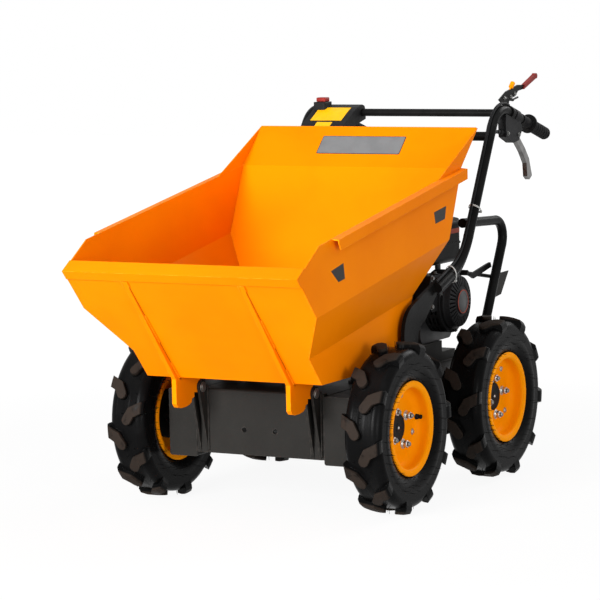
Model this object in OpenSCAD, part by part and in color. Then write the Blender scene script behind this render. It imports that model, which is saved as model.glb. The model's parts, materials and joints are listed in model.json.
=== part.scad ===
// Walk-behind wheel dumper: a folded sheet skip that tips forward on a four-wheel chassis,
// with an engine, two tube handles and hand controls behind it.
// Millimetres. Ground is z = 0, the skip faces -Y, the wheels turn about X.

/* [Wheels] */
// radius of a tyre over its lugs
tyre_r = 207.5; // [195:0.5:225]
// width of the tyre's casing
tyre_w = 98; // [92:1:110]
// width over the lugs
lug_span = 102; // [94:1:114]
// height of a lug over the casing
lug_h = 13.5; // [8:0.5:20]
// width of a lug
lug_w = 27; // [16:1:32]
// lugs on each side of a tyre
lug_n = 10; // [8:1:14]
// radius of the bead seat
seat_r = 101.6; // [95:0.1:110]
// height of the rim flange over the bead seat
flange_h = 13.7; // [10:0.1:18]
// width over both rim flanges
rim_w = 84; // [70:1:90]
// rim sheet
rim_t = 4; // [3:0.5:6]
// fillet between the barrel and the disc of a rim
dish_r = 20; // [8:1:26]
// middle of a tyre from the centre plane
half_track = 324; // [318:1:345]
// distance between the axles
wheelbase = 552; // [530:1:600]
// radius of a wheel shaft
shaft_r = 14; // [10:0.5:20]
// length of the axle tube that stands out of a drive case
stub_l = 38; // [30:1:44]
// gap between the axle tube and the hub
hub_gap = 5; // [2:0.5:8]
// outward set of the wheel disc from the tyre's middle
disc_set = -2; // [-10:1:12]
// radius of the hub cap that shows in the disc
cap_r = 36; // [28:0.5:42]

/* [Chassis] */
// gap between a tyre and the drive case beside it
tyre_gap = 18; // [14:1:30]
// width of a drive case
case_w = 78; // [60:1:90]
// underside of the drive cases below the axles
case_drop = 85.5; // [70:0.5:100]
// top of the drive cases over the axles
case_rise = 81.5; // [70:0.5:95]
// front and rear end of the chassis from mid wheelbase
chassis_y = 375; // [368:1:400]
// plate of the chassis
plate_t = 6; // [4:0.5:8]
// underside of the front plate over that of the drive cases
front_up = 12; // [4:1:24]
// how far the front plate stands over the drive cases
front_rise = 4; // [0:1:10]
// gap between the front plate and a drive case
plate_gap = 5; // [2:0.5:8]
// radius of the two holes in the front plate
hole_r = 6.5; // [4:0.5:9]
// distance between the two holes
hole_pitch = 86; // [60:1:120]
// height of the two holes over the front plate's underside
hole_up = 62; // [40:1:100]
// width of the gearbox
gearbox_w = 140; // [110:1:180]
// length of the gearbox ahead of the rear axle
gearbox_l = 216; // [180:1:260]

/* [Engine] */
// height of the crankshaft over the drive cases
crank_up = 161; // [145:1:180]
// crankshaft behind mid wheelbase
crank_y = 275; // [255:1:295]
// outer face of the starter from the handle tubes' middle
engine_set = 31; // [24:1:50]
// radius of the starter's cover, from which the engine takes its size
recoil_r = 70; // [62:0.5:78]
// slots round the starter's cover
slot_n = 32; // [20:1:40]
// length of the fuel tank across the machine
tank_l = 220; // [180:1:250]
// gap from the fuel tank to the air filter's seam and the muffler
tank_gap = 2.6; // [2.5:0.1:6]
// height of the fuel tank
tank_h = 116; // [90:1:130]

/* [Tipping pivot] */
// pivot ahead of the front plate
pivot_out = 23; // [18:1:34]
// height of the pivot over the drive cases
pivot_up = 11; // [4:1:17]
// radius of a pivot pin
pin_r = 8; // [6:0.5:10]
// middle of an ear from the drive case's inner face
ear_in = 20; // [14:1:40]
// thickness of a rib and its ear
ear_t = 12; // [8:0.5:14]
// reach of an ear ahead of the pivot
ear_l = 113; // [95:1:120]
// how far an ear hangs below the pivot
ear_drop = 40.5; // [30:0.5:50]
// side play between an ear and a cheek
ear_play = 1; // [0.5:0.1:2]
// thickness of a bracket cheek
cheek_t = 6; // [4:0.5:8]

/* [Skip] */
// sheet of the skip
skip_t = 3; // [2:0.5:4]
// gap between the skip's floor and the drive cases' top
floor_up = 47; // [40:1:60]
// front end of the floor ahead of the pivot
floor_lead = 98; // [85:1:112]
// length of the floor
floor_l = 416; // [390:1:440]
// gap between the lower side panels and the tyres
skip_gap = 33; // [25:1:50]
// step of the upper side panels out from the lower ones
skip_step = 75; // [50:1:85]
// lean of the front wall from upright
front_lean = 41.6; // [35:0.1:48]
// lean of the rear wall from upright
rear_lean = 23.4; // [18:0.1:28]
// lean of the flared strip on the rear wall
flare_lean = 46.4; // [35:0.1:55]
// height of the front lip over the floor
lip_up = 276; // [250:1:300]
// height of the rear wall's fold over the floor
flare_up = 467; // [450:1:485]
// height of the flared strip
flare_h = 97; // [70:1:120]
// rise of the side rims and folds to the rear
side_rise = 9.5; // [5:0.1:12]
// height of the side rim over the floor's rear end
rim_up = 436; // [415:0.5:450]
// height of the upper fold over the floor's rear end
fold_hi_up = 275.5; // [250:0.5:300]
// height of the lower fold over the floor's rear end
fold_lo_up = 148.5; // [130:0.5:170]
// slope of the end edges from the lip up to the rim
lip_pitch = 33; // [25:1:40]
// length of the lip's lower leg
lip_leg = 24; // [15:1:30]
// length of the lip's upper leg
lip_top = 38; // [20:1:50]
// height of the rim hem
hem_h = 27; // [18:1:34]
// outward set of the rim hem
hem_out = 18; // [8:1:24]
// front end of the rim hem behind the lip
hem_set = 168; // [150:1:190]
// length of a wing plate along the rim
wing_l = 129; // [100:1:150]
// radius of a rest pad
pad_r = 22; // [15:1:30]
// gap left at the welded seams
seam = 0.1; // [0.05:0.05:0.3]

/* [Handles] */
// radius of a handle tube
tube_r = 13; // [11:0.5:15]
// lower end of the tubes behind mid wheelbase
foot_y = 60; // [40:1:80]
// height of the lower end over the drive cases
foot_up = 219; // [200:1:240]
// lower bend behind mid wheelbase
knee_y = 213; // [195:1:230]
// height of the lower bend over the drive cases
knee_up = 272; // [255:1:290]
// upper bend behind mid wheelbase
crown_y = 429; // [410:1:450]
// height of the upper bend over the drive cases
crown_up = 659; // [630:1:690]
// rear end of the grips behind mid wheelbase
grip_y = 741; // [700:1:780]
// height of the grips' rear end over the drive cases
grip_up = 567; // [540:1:600]
// radius of the lower bend
knee_bend = 180; // [120:1:220]
// radius of the upper bend
crown_bend = 80; // [60:1:100]
// width of a foot plate where it stands on the drive case
foot_w = 80; // [60:1:100]
// front edge of a foot plate ahead of the tube's end
foot_reach = 170; // [150:1:190]
// corner radius of a foot plate
foot_r = 75; // [50:1:90]
// radius of a cross tube
cross_r = 10; // [8:0.5:12]
// lower cross tube below the upper bend, along the tubes
cross_drop = 90; // [75:1:120]
// radius of a guard tube
guard_r = 12.5; // [10:0.5:14]
// bend radius of a guard tube
guard_bend = 45; // [35:1:60]
// rear bend of the guards behind mid wheelbase
guard_y = 541; // [510:1:570]
// height of the guards' rear bend over the drive cases
guard_up = 352; // [330:1:370]
// foot of the guards ahead of the chassis's rear end
guard_foot = 37; // [25:1:60]
// length of a grip
grip_l = 120; // [100:1:140]
// radius of a grip
grip_r = 17; // [15:0.5:20]
// radius of a control cable
cable_r = 4; // [3:0.5:5]
// length of the console across the machine
console_l = 128; // [110:1:150]

/* [Hidden] */
$fn = 48;
fit = 0.3;
run = 0.05;
bead = 0.2;
far = 4 * wheelbase;
wheel_y = wheelbase / 2;
case_out = half_track - lug_span / 2 - tyre_gap;
case_in = case_out - case_w;
case_z0 = tyre_r - case_drop;
case_z1 = tyre_r + case_rise;
front_z0 = case_z0 + front_up;
front_z1 = case_z1 + front_rise;
hole_z = front_z0 + hole_up;
pivot_y = -chassis_y - pivot_out;
pivot_z = case_z1 + pivot_up;
ear_x = case_in - ear_in;
floor_z = case_z1 + floor_up;
floor_y0 = pivot_y - floor_lead;
floor_y1 = floor_y0 + floor_l;
skip_x_lo = half_track - lug_span / 2 - skip_gap;
skip_x_hi = skip_x_lo + skip_step;
lip_z = floor_z + lip_up;
flare_z = floor_z + flare_up;
rear_z = flare_z + flare_h;
rise_k = tan(side_rise);
lip_y = floor_y0 - lip_up * tan(front_lean);
flare_y = floor_y1 + flare_up * tan(rear_lean);
top_y = flare_y + flare_h * tan(flare_lean);
handle_x = case_out + plate_t + tube_r;
guard_x = handle_x - tube_r - guard_r + fit;
engine_out = handle_x - engine_set;
crank_z = case_z1 + crank_up;
foot = [foot_y, case_z1 + foot_up];
knee = [knee_y, case_z1 + knee_up];
crown = [crown_y, case_z1 + crown_up];
grip_end = [grip_y, case_z1 + grip_up];
grip_dir = unit(grip_end - crown);
rise_dir = unit(crown - knee);
grip_wall = 4;
tube_end = grip_end - grip_dir * (grip_wall + fit);
tube_pts = [foot, knee, crown, tube_end];
tube_bends = [knee_bend, crown_bend];
guard_z = case_z1 + guard_up;
guard_top = crown - rise_dir * ((crown[1] - guard_z - guard_r) / rise_dir[1]);
guard_pts = [guard_top, [guard_y, guard_z], [chassis_y - guard_foot, case_z1 - guard_r]];

orange = [1, 0.6, 0.02];
grey = [0.17, 0.17, 0.17];
black = [0.05, 0.05, 0.05];
silver = [0.6, 0.6, 0.6];
red = [0.6, 0.1, 0.1];

function unit(v) = v / norm(v);
function left(v) = [-v[1], v[0]];
function heading(v) = atan2(v[1], v[0]);
function turn(u, v) = let (a = heading(v) - heading(u)) a > 180 ? a - 360 : a < -180 ? a + 360 : a;

// where the line through p along u meets the line through q along v
function meet(p, u, q, v) = p + u * (cross(q - p, v) / cross(u, v));

// points of an arc
function arc(c, r, a0, a1, n) = [for (i = [0 : n]) let (a = a0 + (a1 - a0) * i / n) c + r * [cos(a),
    sin(a)]];

// a path beside another one, to its left
function beside(pts, d) = let (n = len(pts)) [for (i = [0 : n - 1]) let (
    a = left(unit(i > 0 ? pts[i] - pts[i - 1] : pts[1] - pts[0])),
    b = left(unit(i < n - 1 ? pts[i + 1] - pts[i] : pts[i] - pts[i - 1])))
    pts[i] + (a + b) * (d / (1 + a * b))];

// moves a piece from the mid-wheelbase frame to the middle of the machine's length
module placed() translate([0, y_shift, 0]) children();

// a piece and its mirror image across the centre plane
module both() {
    children();
    mirror([1, 0, 0]) children();
}

// a side outline in Y and Z, drawn as a slab from x0 to x1
module slab_yz(x0, x1) translate([x0, 0, 0]) stand() linear_extrude(height = x1 - x0) children();

// turns a flat path or a slab into a plane of constant x
module stand() rotate([90, 0, 90]) children();

// a front outline in X and Z, drawn as a slab from y0 to y1
module slab_xz(y0, y1) translate([0, y1, 0]) rotate([90, 0,
    0]) linear_extrude(height = y1 - y0) children();

// a plan outline in X and Y, drawn as a slab from z0 to z1
module slab_xy(z0, z1) translate([0, 0, z0]) linear_extrude(height = z1 - z0) children();

// a box between two corners
module box(a, b) translate(a) cube(b - a);

// a rectangle with round corners
module round_rect(x0, y0, x1, y1, r) {
    translate([x0 + r, y0]) square([x1 - x0 - 2 * r, y1 - y0]);
    translate([x0, y0 + r]) square([x1 - x0, y1 - y0 - 2 * r]);
    for (x = [x0 + r, x1 - r], y = [y0 + r, y1 - r]) translate([x, y]) circle(r = r);
}

// a box with its edges rounded by r, upright ones by rv
module soft_box(a, b, r, rv) intersection() {
    slab_xy(a[2], b[2]) round_rect(a[0], a[1], b[0], b[1], rv);
    slab_xz(a[1], b[1]) round_rect(a[0], a[2], b[0], b[2], r);
    slab_yz(a[0], b[0]) round_rect(a[1], a[2], b[1], b[2], r);
}

// a rod along X
module rod_x(x0, x1, y, z, r) translate([x0, y, z]) rotate([0, 90, 0]) cylinder(r = r, h = x1 - x0);

// a rod along Y
module rod_y(y0, y1, x, z, r) translate([x, y0, z]) rotate([-90, 0, 0]) cylinder(r = r, h = y1 - y0);

// a straight round bar between two points of a flat path
module lay(a, b, r) translate(a) rotate([0, 0, heading(b - a)]) rotate([0, 90, 0]) cylinder(r = r,
    h = norm(b - a));

// a round bar along a flat path, with a bend radius for each corner and a small collar where a bend starts
module bar_2d(pts, r, bends) {
    n = len(pts);
    cuts = [for (i = [0 : n - 1]) (i == 0 || i == n - 1) ? 0 :
        bends[i - 1] * tan(abs(turn(pts[i] - pts[i - 1], pts[i + 1] - pts[i])) / 2)];
    for (i = [0 : n - 2]) {
        u = unit(pts[i + 1] - pts[i]);
        a = pts[i] + u * (cuts[i] + (i > 0 ? r / 13 : 0));
        b = pts[i + 1] - u * (cuts[i + 1] + (i < n - 2 ? r / 13 : 0));
        lay(a, b, r);
        if (i > 0) lay(a - u * (r / 3), a + u * (r / 4), r + bead);
        if (i < n - 2) lay(b - u * (r / 4), b + u * (r / 3), r + bead);
    }
    for (i = [1 : 1 : n - 2]) {
        u = unit(pts[i] - pts[i - 1]);
        v = unit(pts[i + 1] - pts[i]);
        t = turn(u, v);
        c = pts[i] - u * cuts[i] + (t > 0 ? 1 : -1) * bends[i - 1] * left(u);
        start = t > 0 ? heading(u) - 90 : heading(v) + 90;
        translate(c) rotate([0, 0, start]) rotate_extrude(angle = abs(t))
            translate([bends[i - 1], 0]) circle(r = r);
    }
}

// the same bar standing in a plane of constant x
module bar_yz(x, pts, r, bends) translate([x, 0, 0]) stand() bar_2d(pts, r, bends);

// chassis

module drive_cases() placed() color(grey) both() difference() {
    union() {
        slab_xz(-chassis_y, chassis_y) round_rect(case_in, case_z0, case_out, case_z1, plate_t);
        for (s = [-1, 1]) {
            rod_x(case_out - 1, case_out + stub_l, s * wheel_y, tyre_r, 2.1 * shaft_r);
            rod_x(case_out - 1, case_out + stub_l / 4, s * wheel_y, tyre_r, 3 * shaft_r);
        }
    }
    for (s = [-1, 1]) rod_x(case_in + shaft_r, half_track, s * wheel_y, tyre_r, shaft_r + run);
}

front_deck = 5 * plate_t;

module front_plate() placed() color(grey) difference() {
    slab_yz(plate_gap - case_in, case_in - plate_gap) {
        translate([-chassis_y, front_z0]) square([plate_t, front_z1 - plate_t - front_z0]);
        translate([plate_t - chassis_y, front_z1 - plate_t]) {
            square([front_deck - plate_t, plate_t]);
            intersection() {
                circle(r = plate_t);
                translate([-plate_t, 0]) square(plate_t);
            }
        }
    }
    for (s = [-1, 1])
        rod_y(-chassis_y - hole_r, -chassis_y + 2 * plate_t, s * hole_pitch / 2, hole_z, hole_r);
}

base_z = crank_z - 1.51 * recoil_r;

module chassis_frame() placed() color(grey) {
    box([-case_in, front_deck + seam - chassis_y, case_z1 - plate_t], [case_in, chassis_y, case_z1]);
    box([plate_gap - case_in, chassis_y - plate_t, front_z0], [case_in - plate_gap, chassis_y, case_z1]);
    for (x = [3.04, 1.33]) translate([engine_out - x * recoil_r, crank_y, 0])
        slab_xz(-1.4 * recoil_r, (x < 2 ? 0.2 : 1.4) * recoil_r) difference() {
            translate([-4 * plate_t, case_z1 - plate_t / 2])
                square([8 * plate_t, base_z - case_z1 + plate_t / 2]);
            translate([-3 * plate_t, case_z1]) square([6 * plate_t, base_z - case_z1 - plate_t]);
        }
    translate([engine_out - 1.33 * recoil_r, crank_y, 0]) slab_xz(0.2 * recoil_r - 1, 1.4 * recoil_r)
        translate([-3.6 * plate_t, case_z1 - plate_t / 2]) square([7.2 * plate_t, 0.5 * (base_z - case_z1)]);
}

cheek_r = 2.1 * pin_r;

module pivot_brackets() placed() color(grey) both() for (s = [-1, 1])
    translate([ear_x + s * (ear_t / 2 + ear_play + cheek_t / 2) - cheek_t / 2, 0, 0]) difference() {
        slab_yz(0, cheek_t) {
            polygon([[-chassis_y, front_z0], [-chassis_y, pivot_z], [pivot_y - cheek_r, pivot_z]]);
            translate([pivot_y, pivot_z]) circle(r = cheek_r);
            translate([pivot_y, pivot_z]) square([-chassis_y - pivot_y, cheek_r / 4]);
        }
        rod_x(-1, cheek_t + 1, pivot_y, pivot_z, pin_r + run);
    }

module pivot_pins() placed() color(grey) both() {
    reach = ear_t / 2 + ear_play + cheek_t + pin_r / 2;
    rod_x(ear_x - reach, ear_x + reach, pivot_y, pivot_z, pin_r);
}

module rest_pads() placed() color(black) both() translate([ear_x - pad_r / 3, floor_y1 - 2.3 * pad_r,
    case_z1]) {
    cylinder(r = pad_r, h = floor_up - fit);
    cylinder(r = 1.3 * pad_r, h = pad_r / 4);
}

// drive

module gearbox() placed() color(grey) {
    slab_yz(-gearbox_w / 2, gearbox_w / 2)
        round_rect(wheel_y - gearbox_l, case_z0 + front_up, wheel_y + 1.7 * shaft_r, case_z1 - plate_t,
            1.4 * shaft_r);
    rod_x(-case_in, case_in, wheel_y, tyre_r, 2.3 * shaft_r);
}

// puts the engine's pieces at the crankshaft, with lengths in radii of the starter's cover
module at_crank() translate([0, crank_y, crank_z]) children();

function eng(x) = engine_out - x * recoil_r;

cyl_lean = 25;

module engine_block() placed() color(grey) at_crank() let (r = recoil_r) {
    slab_yz(eng(3.3), eng(1.1)) round_rect(-1.36 * r, -1.51 * r, 1.3 * r, 0.72 * r, 0.3 * r);
    rod_x(eng(3.45), eng(3.2), 0, 0, 0.6 * r);
    rod_x(eng(4.2), eng(3.4), 0, 0, 0.17 * r);
    translate([eng(2.2), 0, 0]) rotate([-cyl_lean, 0, 0]) {
        rod_y(-2.1 * r, 0, 0, 0, 0.62 * r);
        for (i = [0 : 6]) slab_xz((-2.08 + 0.12 * i) * r, (-2.03 + 0.12 * i) * r)
            round_rect(-0.95 * r, -0.72 * r, 0.95 * r, 0.72 * r, 0.2 * r);
        slab_xz(-2.5 * r, -2.09 * r) round_rect(-0.7 * r, -0.6 * r, 0.7 * r, 0.6 * r, 0.2 * r);
    }
    for (x = [3.05, 1.5], y = [-0.3, 1]) translate([eng(x), y * r, 0.5 * r]) cylinder(r = 0.11 * r,
        h = 0.86 * r - fit);
    rod_x(eng(3.81) + fit, eng(2.2), -0.87 * r, 1.05 * r, 0.2 * r);
    translate([eng(2.2), -0.87 * r, 0]) cylinder(r = 0.2 * r, h = 1.05 * r);
    rod_x(eng(3.81) + fit, eng(2.9), 0.71 * r, 1.05 * r, 0.17 * r);
    translate([eng(2.9), 0.71 * r, 0]) cylinder(r = 0.17 * r, h = 1.05 * r);
}

module engine_shroud() placed() color(black) at_crank() let (r = recoil_r) difference() {
    union() {
        rod_x(eng(1.1) + fit, eng(0.42), 0, 0, hood_r);
        slab_yz(eng(1.1) + fit, eng(0.5)) round_rect(-1.75 * r, -0.25 * r, 0.4 * r, 1.07 * r, 0.25 * r);
    }
    for (a = [-60 : 24 : 60], x = [0.98, 0.82, 0.66]) rotate([a, 0, 0])
        box([eng(x), -1.3 * r, -0.17 * r], [eng(x - 0.1), -1.02 * r, 0.17 * r]);
    for (a = [110 : 28 : 250], x = [0.98, 0.82, 0.66]) rotate([a, 0, 0])
        box([eng(x), -1.3 * r, -0.17 * r], [eng(x - 0.1), -1.02 * r, 0.17 * r]);
}

// a piece turned about the crankshaft from a section of radius and x
module turned_x(x) translate([x, 0, 0]) rotate([0, 90, 0]) rotate_extrude() children();

module recoil_starter() placed() color(black) at_crank() let (r = recoil_r) difference() {
    turned_x(eng(0.42) + fit) polygon([[0, 0], [1.04 * r, 0], [1.04 * r, 0.08 * r], [r, 0.12 * r],
        [0.93 * r, 0.3 * r],
        [0.6 * r, 0.37 * r], [0.46 * r, 0.37 * r], [0.44 * r, 0.42 * r - fit], [0, 0.42 * r - fit]]);
    for (i = [0 : slot_n - 1]) rotate([360 * i / slot_n, 0, 0])
        box([eng(0.24), -0.03 * r, 0.55 * r], [eng(-0.1), 0.03 * r, 0.92 * r]);
}

module fuel_tank() placed() color(black) at_crank() let (r = recoil_r, z = 1.36 * recoil_r,
    x = eng(0.61)) {
    soft_box([x - tank_l, -1.36 * r, z], [x, 1.36 * r, z + tank_h], 0.3 * r, 0.4 * r);
    slab_xy(z + 0.42 * tank_h, z + 0.46 * tank_h)
        round_rect(x - tank_l - plate_t / 4, -1.36 * r - plate_t, x + plate_t / 2,
            1.36 * r + plate_t / 2, 0.45 * r);
    translate([x - tank_l / 2, 0, z + tank_h - 1]) {
        cylinder(r = 0.42 * r, h = 0.1 * r);
        cylinder(r = 0.38 * r, h = 0.32 * r);
    }
}

// moves the pieces beyond the tank along with its length
module beside_tank() translate([3.18 * recoil_r - tank_l - tank_gap, 0, 0]) children();

module air_filter() placed() color(black) at_crank() beside_tank() let (r = recoil_r) {
    soft_box([eng(5.33), -1.57 * r, 0.86 * r], [eng(3.81), -0.14 * r, 2.7 * r], 0.22 * r, 0.22 * r);
    slab_xy(1.6 * r, 1.66 * r) round_rect(eng(5.37), -1.61 * r, eng(3.79), -0.1 * r, 0.22 * r);
    translate([eng(4.57), -0.86 * r, 2.6 * r]) cylinder(r = 0.16 * r, h = 0.3 * r);
}

module muffler() placed() color(silver) at_crank() beside_tank() let (r = recoil_r) difference() {
    union() {
        soft_box([eng(5.33), 0.14 * r, 0.86 * r], [eng(3.81), 1.3 * r, 2.4 * r], 0.22 * r, 0.3 * r);
        rod_y(1.2 * r, 1.5 * r, eng(4.9), 2 * r, 0.16 * r);
    }
    for (i = [0 : 4]) box([eng(5.1 - 0.24 * i), 1.26 * r, 1.1 * r], [eng(4.98 - 0.24 * i), 1.4 * r,
        1.7 * r]);
    rod_y(1.3 * r, 1.6 * r, eng(4.9), 2 * r, 0.12 * r);
}

// handles and controls

// foot plate of a handle in side view
foot_dir = unit(knee - foot);
foot_front = foot[0] - foot_reach;
foot_edge = foot + left(foot_dir) * (0.8 * tube_r);
foot_c = meet(foot_edge - left(foot_dir) * foot_r, foot_dir, [foot_front + foot_r, 0], [0, 1]);

module foot_plate() polygon(concat(
    [[foot_front, case_z1 - foot_w / 2]],
    arc(foot_c, foot_r, 180, 90 + heading(foot_dir), 8),
    [foot_edge + foot_dir * (3 * tube_r),
    foot + foot_dir * (4.4 * tube_r) - left(foot_dir) * (0.8 * tube_r)],
    [foot + foot_dir * tube_r - left(foot_dir) * (1.5 * tube_r)],
    arc(foot_c + [foot_w * 0.62, -foot_w * 0.3], foot_w * 0.62, 100, 180, 5),
    [[foot_front + foot_w, case_z1 - foot_w / 2]]));

module handles() placed() color(black) both() {
    bar_yz(handle_x, tube_pts, tube_r, tube_bends);
    slab_yz(case_out, case_out + plate_t + 0.3 * tube_r) foot_plate();
}

module handle_cut() bar_yz(handle_x, tube_pts, tube_r + fit, tube_bends);

module rear_guards() placed() color(black) both() difference() {
    bar_yz(guard_x, guard_pts, guard_r, [guard_bend]);
    box([0, -far, 0], [far, far, case_z1 + seam]);
    handle_cut();
}

guard_dir = unit(guard_pts[1] - guard_pts[2]);
gusset = guard_pts[1] - guard_dir * (0.46 * guard_up);

module guard_plates() placed() color(grey) both() difference() {
    slab_yz(guard_x - 0.8 * guard_r, guard_x - 0.5 * guard_r) polygon([gusset,
        gusset + 8 * guard_r * [1, 0.02],
        gusset + 8 * guard_r * [0.5, -0.56], gusset - guard_dir * 6 * guard_r]);
    bar_yz(guard_x, guard_pts, guard_r + fit, [guard_bend]);
}

// middle of the upper bend, where the upper cross tube meets the handles
crown_turn = turn(rise_dir, grip_dir) / 2;
cross_at = crown + unit(grip_dir - rise_dir) * (crown_bend * (1 / cos(crown_turn) - 1));
cross_lo = crown - rise_dir * cross_drop;

module cross_tubes() placed() color(black) difference() {
    union() {
        rod_x(-handle_x, handle_x, cross_at[0], cross_at[1], cross_r);
        rod_x(-handle_x, handle_x, cross_lo[0], cross_lo[1], 1.2 * cross_r);
    }
    both() handle_cut();
}

// places a flat outline along a grip, with lengths in radii of the tube
module on_grip() translate(crown) rotate([0, 0, heading(grip_dir)]) children();

module grips() placed() color(black) both() difference() {
    translate([handle_x, 0, 0]) stand() translate(grip_end) rotate([0, 0,
        heading(grip_dir)]) rotate([0, 90, 0])
        rotate_extrude() difference() {
            union() {
                translate([0, -grip_l]) square([grip_r, grip_l - grip_r / 3]);
                translate([0, -grip_r / 2]) square([grip_r * 0.85, grip_r / 2]);
                translate([0, -grip_l]) square([1.5 * grip_r, grip_r / 3]);
                translate([0, -grip_l - 3 * grip_r]) square([1.15 * tube_r, 3 * grip_r]);
            }
            for (i = [1 : 7]) translate([1.06 * grip_r, -i * grip_l / 8.5]) circle(r = 0.14 * grip_r);
        }
    bar_yz(handle_x, [crown + grip_dir * crown_bend, tube_end + grip_dir * fit], tube_r + fit, []);
}

housing = tube_r * [[3.2, -1.1], [3.4, -2.8], [4.4, -5.5], [8.2, -5.8], [10.6, -4.7], [11.8, -2.1],
    [10.2, -0.5]];

module lever_housing() placed() color(black) difference() {
    translate([handle_x, 0, 0]) stand() on_grip() {
        translate([0, 0, -0.85 * tube_r]) linear_extrude(height = 1.7 * tube_r) polygon(housing);
        lay(tube_r * [7.6, 0], tube_r * [9.8, 0], 1.35 * tube_r);
        lay(tube_r * [1.65, -5.0715], tube_r * [3, -4.75], 0.38 * tube_r);
        lay(tube_r * [2.9, -4.8], tube_r * [4.6, -4.45], 0.55 * tube_r);
    }
    handle_cut();
    translate([handle_x, 0, 0]) stand() on_grip() lay(tube_r * [5.75, 0], tube_r * [7.05, 0],
        1.35 * tube_r + fit);
}

module lever_blade() placed() color(silver) slab_yz(handle_x - 0.5 * tube_r,
    handle_x + 0.5 * tube_r) on_grip()
    difference() {
        polygon(tube_r * [[9.6, -4.6], [13.7, -6.5], [16.3, -8.2], [17.4, -10.7],
        [18.6, -11.1], [19.6, -10], [17.3, -7], [14.8, -5.4], [11, -3.7]]);
        translate([seam, -seam]) polygon(housing);
    }

bracket = tube_r * [[5.8, 0.9], [2.3, 1.65], [5.2, 4.1], [7, 5], [10.4, 6.8], [13.2, 7.5], [12.6, 6.4],
    [10.7, 5.6], [9.6, 4.2], [7, 3], [7, 0.9]];
bracket_x = handle_x - 0.9 * tube_r;
bracket_t = 0.35 * tube_r;

module throttle_bracket() placed() color(grey) difference() {
    union() {
        slab_yz(bracket_x, bracket_x + bracket_t) on_grip() polygon(bracket);
        translate([handle_x, 0, 0]) stand() on_grip() lay(tube_r * [5.8, 0], tube_r * [7, 0],
            1.35 * tube_r);
        translate([bracket_x + bracket_t / 2, 0, 0]) stand() on_grip() {
            lay(tube_r * [5.2, 2.6], tube_r * [9, 3.3], 0.3 * tube_r);
            lay(tube_r * [8.6, 3.2], tube_r * [11.2, 4.4], 0.2 * tube_r);
        }
    }
    handle_cut();
}

console_x = tube_r * 1.8 - handle_x;

module red_controls() placed() color(red) {
    slab_yz(bracket_x - 0.2 * tube_r, bracket_x + bracket_t + 0.3 * tube_r) on_grip() difference() {
        union() {
            polygon(tube_r * [[12.5, 7.1], [12.9, 6.5], [18.4, 10.3], [17.9, 11]]);
            translate(tube_r * [18.15, 10.65]) circle(r = 0.55 * tube_r);
        }
        translate([seam, -seam]) polygon(bracket);
        translate([seam, seam]) polygon(bracket);
    }
    at_cross() translate([console_x, 0, 0])
        soft_box(cross_r * [0.6, -3.5, 2.95], cross_r * [3.4, -0.8, 4.1], 0.4 * cross_r, 0.4 * cross_r);
}

module choke_knob() placed() color(orange) difference() {
    translate([bracket_x + bracket_t / 2, 0, 0]) stand() on_grip() {
        lay(tube_r * [6.9, 4.7], tube_r * [7.5, 5.7], 0.2 * tube_r);
        lay(tube_r * [7.45, 5.6], tube_r * [8.1, 6.6], 0.5 * tube_r);
    }
    slab_yz(bracket_x - tube_r, bracket_x + tube_r) on_grip() translate([-seam,
        2 * seam]) polygon(bracket);
}

// control cables that are tied along the left handle tube
cable_d = tube_r + cable_r + fit + 2 * bead;
top_run = beside([foot, knee, crown, crown + grip_dir * (5.75 * tube_r)], cable_d);
low_run = beside([foot, knee, crown], -cable_d);
low_from = crown + grip_dir * (1.6 * tube_r) - left(grip_dir) * (5.083 * tube_r);
low_dir = unit(grip_dir * 2.1 + left(grip_dir) * 0.5);
low_meet = meet(low_from, low_dir, low_run[1], rise_dir);

module cable_low(r) bar_yz(handle_x, [low_run[0], low_run[1], low_meet, low_from], r,
    [knee_bend + cable_d, 1.8 * tube_r]);

module control_cables() placed() color(black) {
    bar_yz(handle_x, top_run, cable_r, [knee_bend - cable_d, crown_bend + cable_d]);
    cable_low(cable_r);
}

// puts the console's pieces at the upper cross tube
module at_cross() translate([0, cross_at[0], cross_at[1]]) children();

hood = [[-13.6, -5.2], [-12.4, -3.8], [-10.4, -2.5], [-7.6, -1], [-4.6, 0.7], [-2.4, 1.6], [0, 2.1],
    [1.2, 1.7], [1.8, 0.4], [1.8, -1.8], [-1.6, -2.6]];
hood_in = [[-12.8, -6], [-12, -4.3], [-10.1, -3], [-7.3, -1.5], [-4.4, 0.1], [-2.6, 0.9], [-1.6, 1.2],
    [-1.6, -6]];

module console() placed() color(black) difference() {
    at_cross() union() {
        difference() {
            slab_yz(console_x, console_x + console_l) polygon(cross_r * hood);
            slab_yz(console_x + 0.4 * cross_r,
                console_x + console_l - 0.4 * cross_r) polygon(cross_r * hood_in);
        }
        translate([console_x, 0, 0])
            soft_box(cross_r * [0.2, -4.4, 0.4], cross_r * [3.8, -0.2, 2.95] - [0, 0, seam],
                0.3 * cross_r, 0.5 * cross_r);
    }
    rod_x(-handle_x, handle_x, cross_at[0], cross_at[1], cross_r + fit);
}

// shift rod between a lug on the shroud and the left guard's plate, with its flat lever
hood_r = 1.16 * recoil_r;
shift_x = guard_x - 0.8 * guard_r - fit;
shift_a = [crank_y + 0.75 * recoil_r, crank_z + 0.97 * recoil_r];
shift_b = gusset + guard_r * [2.2, -0.6];

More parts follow.
